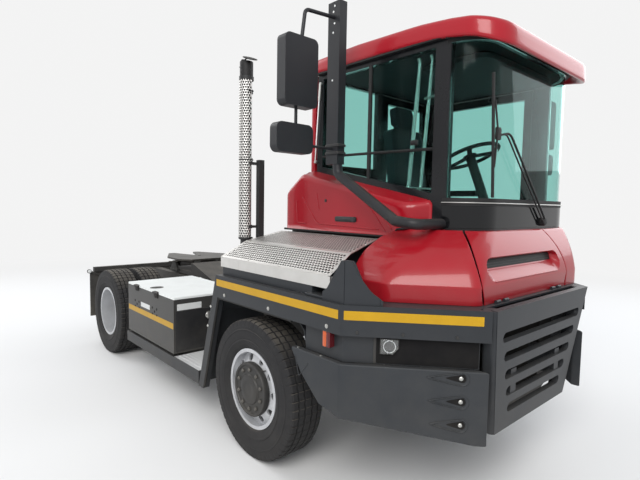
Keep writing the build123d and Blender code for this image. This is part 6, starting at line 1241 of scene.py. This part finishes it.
# Cab: welded steel shell in satin black, glued green-tinted panes in black rubber, and two doors on hinges
# that are made like the shell.
cab_black = coat_finish("cab_black_paint", (0.0065, 0.0070, 0.0085), (0.010, 0.0105, 0.012),
                        0.26, coat=0.15, film=(1.3, 1.9, 0.04, 0.05), grain=(200.0, 0.5, 3.0, 0.8), bump=0.06,
                        shine=0.22)
dress(cab_black, "cab_shell", "cab_door_left", "cab_door_rear")
round_edges(0.006, "cab_shell", "cab_door_left", "cab_door_rear", segments=3)
tinted, tree, shader = clear_material("tinted_glass", (0.50, 0.76, 0.72), 0.015, 1.0, 1.12)
feed(tree, shader, {"Specular IOR Level": 1.0})
dress(tinted, "windscreen", "cab_windows", "door_left_glass", "door_rear_glass")


# Right window: black divider and rail that carry the sliding pane, and its latch; extruded frames with
# rubber channels, screwed to the shell.
window_y, catch_x, catch_z = -0.4475, 2.085, 2.335
catch_knob = ((0.016, 0.0), (0.016, 0.012), (0.010, 0.016), (0.002, 0.017))
add_piece("window_divider", [
    block((1.645, window_y - 0.004, 2.085), (1.672, window_y + 0.014, 2.945)),
    tube([(x, window_y + 0.004, z) for x, z in ((1.140, 2.300), (1.7, 2.292), (2.235, 2.282))], 0.011, 8),
    plate(0.060, 0.036, 0.010, (catch_x, window_y + 0.002, catch_z), facing_right, 0.016, 0.005),
    lathe(catch_knob, (catch_x, window_y - 0.012, catch_z), (0, -1, 0), 20)], rubber_black)


# Grab bars: two bright steel tubes inside the right front post, bent in at both ends and bolted, and two
# short cross bars.
bar_steel = coat_finish("grab_bar_steel", (0.62, 0.62, 0.60), (0.52, 0.52, 0.50), 0.25, metallic=1.0,
                        film=(0, 1, 0, 0.05))
bars = [tube(((2.110, -0.380, 2.640), (2.300, -0.395, 2.655)), 0.009),
        tube(((1.940, -0.380, 2.030), (2.320, -0.380, 2.010)), 0.010)]
for low_x, high_x, radius in ((1.985, 2.057, 0.014), (2.090, 2.158, 0.011)):
    path = ((low_x, -0.395, 2.010), (low_x, -0.372, 2.030), (high_x, -0.372, 2.900), (high_x, -0.395, 2.925))
    bars.append(tube(bent(path, 0.03), radius, 14, reference=(1, 0, 0.1)))
add_piece("grab_bars", bars, bar_steel)


# Screen surround: a thin washer tube under the glass, dark bands over and under it, a glossy dark pane below,
# and a wiper with a double arm; rubber profiles and glued glass.
def cab_line(z, proud):
    """Path round the cab's front at a height, from the right side to the left, standing off the shell."""
    path = []
    for corner, middle_y, turns in ((0.250, -0.200, np.linspace(-np.pi / 2, 0, 14)),
                                    (0.400, 0.750, np.linspace(0, np.pi / 2, 18))):
        y = middle_y + corner * np.sin(turns)
        shown = turns[(y >= -0.455) & (y <= 1.12)]
        path.append(np.stack((2.576 - corner + (corner + proud) * np.cos(shown),
                              middle_y + (corner + proud) * np.sin(shown), np.full(len(shown), z)), axis=1))
    return np.concatenate(path)


def screen_strip(name, material, *profile):
    """Closed strip along the cab's front: corners (distance off the shell, height) carried along its line."""
    rows = np.array([cab_line(z, proud) for proud, z in profile])
    count = rows.shape[1]
    ends = [[start + end for start in range(0, 4 * count, count)] for end in (0, count - 1)]
    add_piece(name, (rows, grid_faces(4, count, wrap_rows=True) + ends), material)


add_piece("washer_tube", tube(cab_line(1.925, 0.012), 0.0038, 8), zinc)
screen_strip("screen_band", rubber_black, (-0.004, 2.945), (0.004, 2.945), (0.004, 2.985), (-0.004, 2.985))
screen_strip("screen_foot_band", rubber_black, (-0.004, 1.905), (0.005, 1.905), (0.005, 1.955),
             (-0.004, 1.955))
black_glass = coat_finish("black_glass", (0.003, 0.0035, 0.0045), (0.004, 0.0045, 0.0055), 0.10,
                          coat=0.12, coat_roughness=0.03, film=(1.3, 1.9, 0.03, 0.0),
                          grain=(200.0, 0.1, 3.0, 0.6), bump=0.03,
                          shine=0.30)
screen_strip("screen_foot_pane", black_glass, (-0.004, 1.756), (0.0035, 1.760), (0.0035, 1.902),
             (-0.004, 1.902))
pivot, elbow, head = (2.605, 0.500, 1.800), (2.604, -0.120, 2.385), (2.600, -0.235, 2.360)
wiper_x = 2.594
add_piece("wiper", [
    tube(bent((pivot, (2.610, 0.120, 2.150), elbow, head), 0.05), 0.0075, 8),
    tube(bent(((2.605, 0.455, 1.795), (2.610, 0.080, 2.130), (2.604, -0.165, 2.372), head), 0.05), 0.0055, 8),
    tube(((wiper_x, -0.352, 2.730), (wiper_x + 0.002, -0.325, 2.330), (wiper_x, -0.297, 1.960)), 0.010, 8),
    tube(((wiper_x + 0.012, -0.335, 2.560), (wiper_x + 0.014, -0.290, 2.380),
          (wiper_x + 0.012, -0.315, 2.150)),
         0.006, 8),
    lathe(((0.030, -0.030), (0.030, 0.0), (0.024, 0.012), (0.004, 0.014)), (2.600, 0.480, 1.797), (1, 0, 0),
          24),
    plate(0.060, 0.080, 0.012, (wiper_x, -0.270, 2.365), facing_front, 0.014, 0.004)], rubber_black)


# Cab lining: a dark moulded headliner under the roof with an overhead console in front, foam and plastic
# clipped to the roof's frame.
lining = coat_finish("cab_lining", (0.022, 0.023, 0.026), (0.030, 0.031, 0.034), 0.8,
                     film=(0, 1, 0, 0), grain=(300.0, 1.0, 8.0, 0.5), bump=0.2)
add_piece("headliner", [plate(1.395, 1.490, 0.180, (1.8225, 0.350, 2.9535), facing_up, 0.034, 0.012, 8),
                        plate(0.560, 1.050, 0.080, (2.170, 0.350, 2.9025), facing_up, 0.051, 0.02, 6)],
          lining)


# Rear corner post on the right: a red painted sheet strip that carries the roof's colour down to the hood,
# with the rear window's gas strut beside it, a chromed rod in a zinc-plated cylinder between ball joints.
add_piece("cab_corner_post", plate(0.046, 0.050, 0.006, (1.0165, -0.4275, 2.180), facing_up, 0.806),
          red_paint)
strut_foot, strut_head = np.array((1.062, -0.466, 2.262)), np.array((1.112, -0.466, 2.905))


def strut_tube(shares, radius, sides):
    """Tube along shares of the strut's length."""
    return tube([strut_foot + (strut_head - strut_foot) * share for share in shares], radius, sides)


ball = ((0.012, -0.004), (0.014, 0.0), (0.014, 0.012), (0.010, 0.018))
add_piece("rear_strut_rod", strut_tube((0.0, 0.5, 0.80), 0.0055, 10), chrome)
add_piece("rear_strut_body", [strut_tube((0.79, 0.90, 1.0), 0.0105, 12)]
          + [lathe(ball, end, (0, 1, 0), 16) for end in (strut_foot, strut_head)], zinc)


# Seat: woven cloth pads on a moulded base, the cushion and the back blown up as cloth round their foam, the
# head part included, with piping left out; the pads fill the space of their solids.
trim_black = coat_finish("cab_trim_plastic", (0.018, 0.018, 0.020), (0.026, 0.026, 0.027),
                         0.6, film=(1.4, 2.0, 0.1, 0.1), grain=(350.0, 1.0, 5.0, 0.4), bump=0.2)
dress(trim_black, "seat_base", "steering_wheel", "dashboard")
round_edges(0.010, "dashboard", segments=3)
seat_cloth, tree, shader = new_material("seat_cloth")
weave = node(tree, "TexVoronoi",
             {0: node(tree, "TexCoord").outputs["Object"], "Scale": 420.0}).outputs["Distance"]
cloth_bump = node(tree, "Bump", {"Height": weave, "Strength": 0.5, "Distance": 0.001})
feed(tree, shader, {"Base Color": tone_mix(tree, weave, (0.016, 0.017, 0.020, 1), (0.040, 0.042, 0.048, 1)),
                    "Normal": cloth_bump.outputs["Normal"], "Roughness": 0.92})
cloth_steps, pad_inset, pad_swell, pad_voxel = 20, 0.014, 0.013, 0.012


def settle(piece):
    """Gives a piece the mesh that its modifiers make, and takes them off."""
    piece.data = bpy.data.meshes.new_from_object(piece.evaluated_get(bpy.context.evaluated_depsgraph_get()))
    piece.modifiers.clear()
    return piece.data


def read_points(mesh, what="co"):
    """Points or normals of a mesh's vertices."""
    flat = np.empty(len(mesh.vertices) * 3)
    mesh.vertices.foreach_get(what, flat)
    return flat.reshape(-1, 3)


def write_points(mesh, points):
    """Moves a mesh's vertices."""
    mesh.vertices.foreach_set("co", points.ravel())
    mesh.update()


def pillow(name, stands_for):
    """Pad from a CAD solid: drawn in, remeshed and blown up as cloth with pressure, then smoothed once."""
    made = in_scene(name, nodes[stands_for].data.copy())
    made.data.name = name
    made.matrix_world = nodes[stands_for].matrix_world.copy()
    cleaned(made.data, 0.0005)
    modifier(made, "voxels", "REMESH", mode="VOXEL", voxel_size=pad_voxel)
    mesh = settle(made)
    start = read_points(mesh) - read_points(mesh, "normal") * pad_inset
    write_points(mesh, start)
    cloth = made.modifiers.new("cloth", "CLOTH")
    cloth.settings.use_pressure = True
    cloth.settings.uniform_pressure_force = 4.0
    cloth.settings.effector_weights.gravity = 0.0
    cloth.point_cache.frame_start = 1
    cloth.point_cache.frame_end = cloth_steps
    for frame_number in range(1, cloth_steps + 1):
        bpy.context.scene.frame_set(frame_number)
    mesh = settle(made)
    bpy.context.scene.frame_set(1)
    moved = read_points(mesh) - start
    length = np.linalg.norm(moved, axis=1, keepdims=True)
    write_points(mesh, start + moved * np.minimum(1.0, pad_swell / np.maximum(length, 1e-9)))
    mesh.materials.clear()
    mesh.materials.append(seat_cloth)
    mesh.shade_smooth()
    modifier(made, "smooth", "SUBSURF", levels=1, render_levels=1)
    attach(made, "chassis")
    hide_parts(stands_for)


pillow("seat_cushion_pad", "seat_cushion")
pillow("seat_back_pad", "seat_back")


# Roof: thick glass fibre cap in glossy red with rounded shoulders, drooping into a peak over the screen; a
# black seal runs round under it.
roof_rear, roof_front, roof_right, roof_left = 1.021, 2.697, -0.4895, 1.1895
roof_middle = np.array((roof_rear + roof_front, roof_right + roof_left)) / 2
roof_corners = ((roof_rear, roof_right, 0.060), (roof_front, roof_right, 0.230),
                (roof_front, roof_left, 0.380), (roof_rear, roof_left, 0.060))
# distances forward and heights of the lower edge and of the shoulder
roof_bottom = ((1.02, 1.90, 2.25, 2.42, 2.54, 2.62, 2.697),
               (2.9905, 2.9905, 2.982, 2.962, 2.936, 2.910, 2.885))
roof_side = ((1.02, 1.50, 2.10, 2.35, 2.50, 2.62, 2.697), (3.106, 3.124, 3.116, 3.096, 3.074, 3.048, 3.028))


def roof_ring(inset):
    """Plan outline of the cap drawn in by an inset, from the right rear over the front to the left rear.

    Each corner is a quarter circle; the long straight sides between them are cut into pieces for the droop.
    """
    ring = []
    for quarter, (x, y, corner) in enumerate(roof_corners):
        radius = max(corner - inset, 0.012)
        centre = (x, y) - np.sign((x, y) - roof_middle) * (inset + radius)
        turn = math.pi * (quarter / 2 - 1) + np.linspace(0, math.pi / 2, 17)
        ring += list(centre + radius * np.stack((np.cos(turn), np.sin(turn)), axis=1))
    dense = [ring[0]]
    for before, after in zip(ring, ring[1:] + ring[:1]):
        pieces = 12 if np.linalg.norm(after - before) > 0.3 else 1
        dense += [before + (after - before) * step / pieces for step in range(1, pieces + 1)]
    return np.array(dense[:-1])


def roof_row(inset, up_share, lift):
    """Ring at a share of the way from the lower edge to the shoulder, lifted.

    Heights are read at the outline's own distance forward: the ring's, stretched back over the inset.
    """
    ring = roof_ring(inset)
    half = (roof_front - roof_rear) / 2
    x = roof_middle[0] + (ring[:, 0] - roof_middle[0]) * half / (half - inset * 0.85)
    low, high = np.interp(x, *roof_bottom), np.interp(x, *roof_side)
    return np.column_stack((ring, low + (high - low) * up_share + lift))


# inset, share of the way up the side, lift: soffit, lip, side, shoulder, then the crowned top
roof_rows = (
    (0.060, 0.0, 0.026), (0.036, 0.0, 0.012), (0.024, 0.0, 0.002), (0.010, 0.0, 0.0), (0.002, 0.0, 0.006),
    (0.0, 0.0, 0.020), (0.001, 0.25, 0.0), (0.003, 0.50, 0.0), (0.006, 0.72, 0.0), (0.011, 0.86, 0.0),
    (0.020, 0.95, 0.0), (0.034, 1.0, 0.0015), (0.052, 1.0, 0.006), (0.080, 1.0, 0.0095), (0.130, 1.0, 0.0125),
    (0.22, 1.0, 0.015), (0.34, 1.0, 0.0165), (0.48, 1.0, 0.0172), (0.66, 1.0, 0.0175))
soffit_low, soffit_z, soffit_share = 2.9885, 2.990, 0.90
rings = np.array([roof_row(*row) for row in roof_rows])
rings[0, :, 2] = np.maximum(rings[0, :, 2], soffit_low)
inner = roof_middle + (rings[0, :, :2] - roof_middle) * soffit_share
rings = np.concatenate((np.column_stack((inner, np.full(len(inner), soffit_z)))[None], rings))
add_piece("roof_cap", (rings, grid_faces(*rings.shape[:2], wrap_columns=True, caps=True)), red_paint,
          stands_for=("cab_roof",), sharp=60)
screen_strip("roof_front_seal", rubber_black, (0.006, 2.974), (0.030, 2.966), (0.034, 2.980), (0.006, 2.989))
add_piece("roof_side_seals", [block((1.080, low_y, 2.9775), (front_x, high_y, 2.9895))
                              for low_y, high_y, front_x in ((-0.484, -0.452, 2.330), (1.152, 1.184, 2.180))],
          rubber_black)


# Mirrors: moulded black heads on bent tubes and a square post, a row of fixing holes up the post as white
# discs, painted light for the bright background seen through them, silvered glass on the rear faces, clamps
# where tube meets post.
mirror_black = coat_finish("mirror_black", (0.011, 0.012, 0.015), (0.018, 0.019, 0.022), 0.45,
                           film=(1.4, 2.2, 0.10, 0.2), grain=(320.0, 1.0, 4.0, 0.5), bump=0.2)
dress(mirror_black, "mirrors_right", "mirrors_left")
round_edges(0.006, "mirrors_right", "mirrors_left", segments=3, angle=40)
silvered = coat_finish("mirror_glass", (0.80, 0.84, 0.85), (0.78, 0.82, 0.83), 0.02, metallic=1.0,
                       film=(0, 1, 0, 0), bump=0.0)
add_piece("mirror_glasses", [plate(0.250, 0.428, 0.034, (1.5495, -1.097, 2.777), facing_rear, 0.0016),
                             plate(0.278, 0.165, 0.036, (1.5595, -1.142, 2.335), facing_rear, 0.0016)],
          silvered)
post_spots = ((1.601, 3.300), (1.589, 3.262), (1.589, 3.222), (1.601, 3.180), (1.589, 3.118), (1.589, 2.786))
post_hole = ((0.0075, -0.001), (0.0075, 0.0006), (0.005, 0.0010))
# the holes: white discs, painted light that stands for the background seen through the post
add_piece("post_holes", [lathe(post_hole, (x, -0.775, z), (0, -1, 0), 12) for x, z in post_spots],
          plate_white)
clamp_x, clamp_y = 1.597, -0.740
add_piece("mirror_clamps", [plate(0.140, 0.090, 0.014, (clamp_x, clamp_y, z), facing_up, 0.018, 0.004)
                            for z in (2.262, 2.316)]
          + [tube(((clamp_x, -0.800, 2.300), (clamp_x, -0.900, 2.303), (clamp_x, -1.010, 2.306)), 0.007, 8)],
          frame_black)
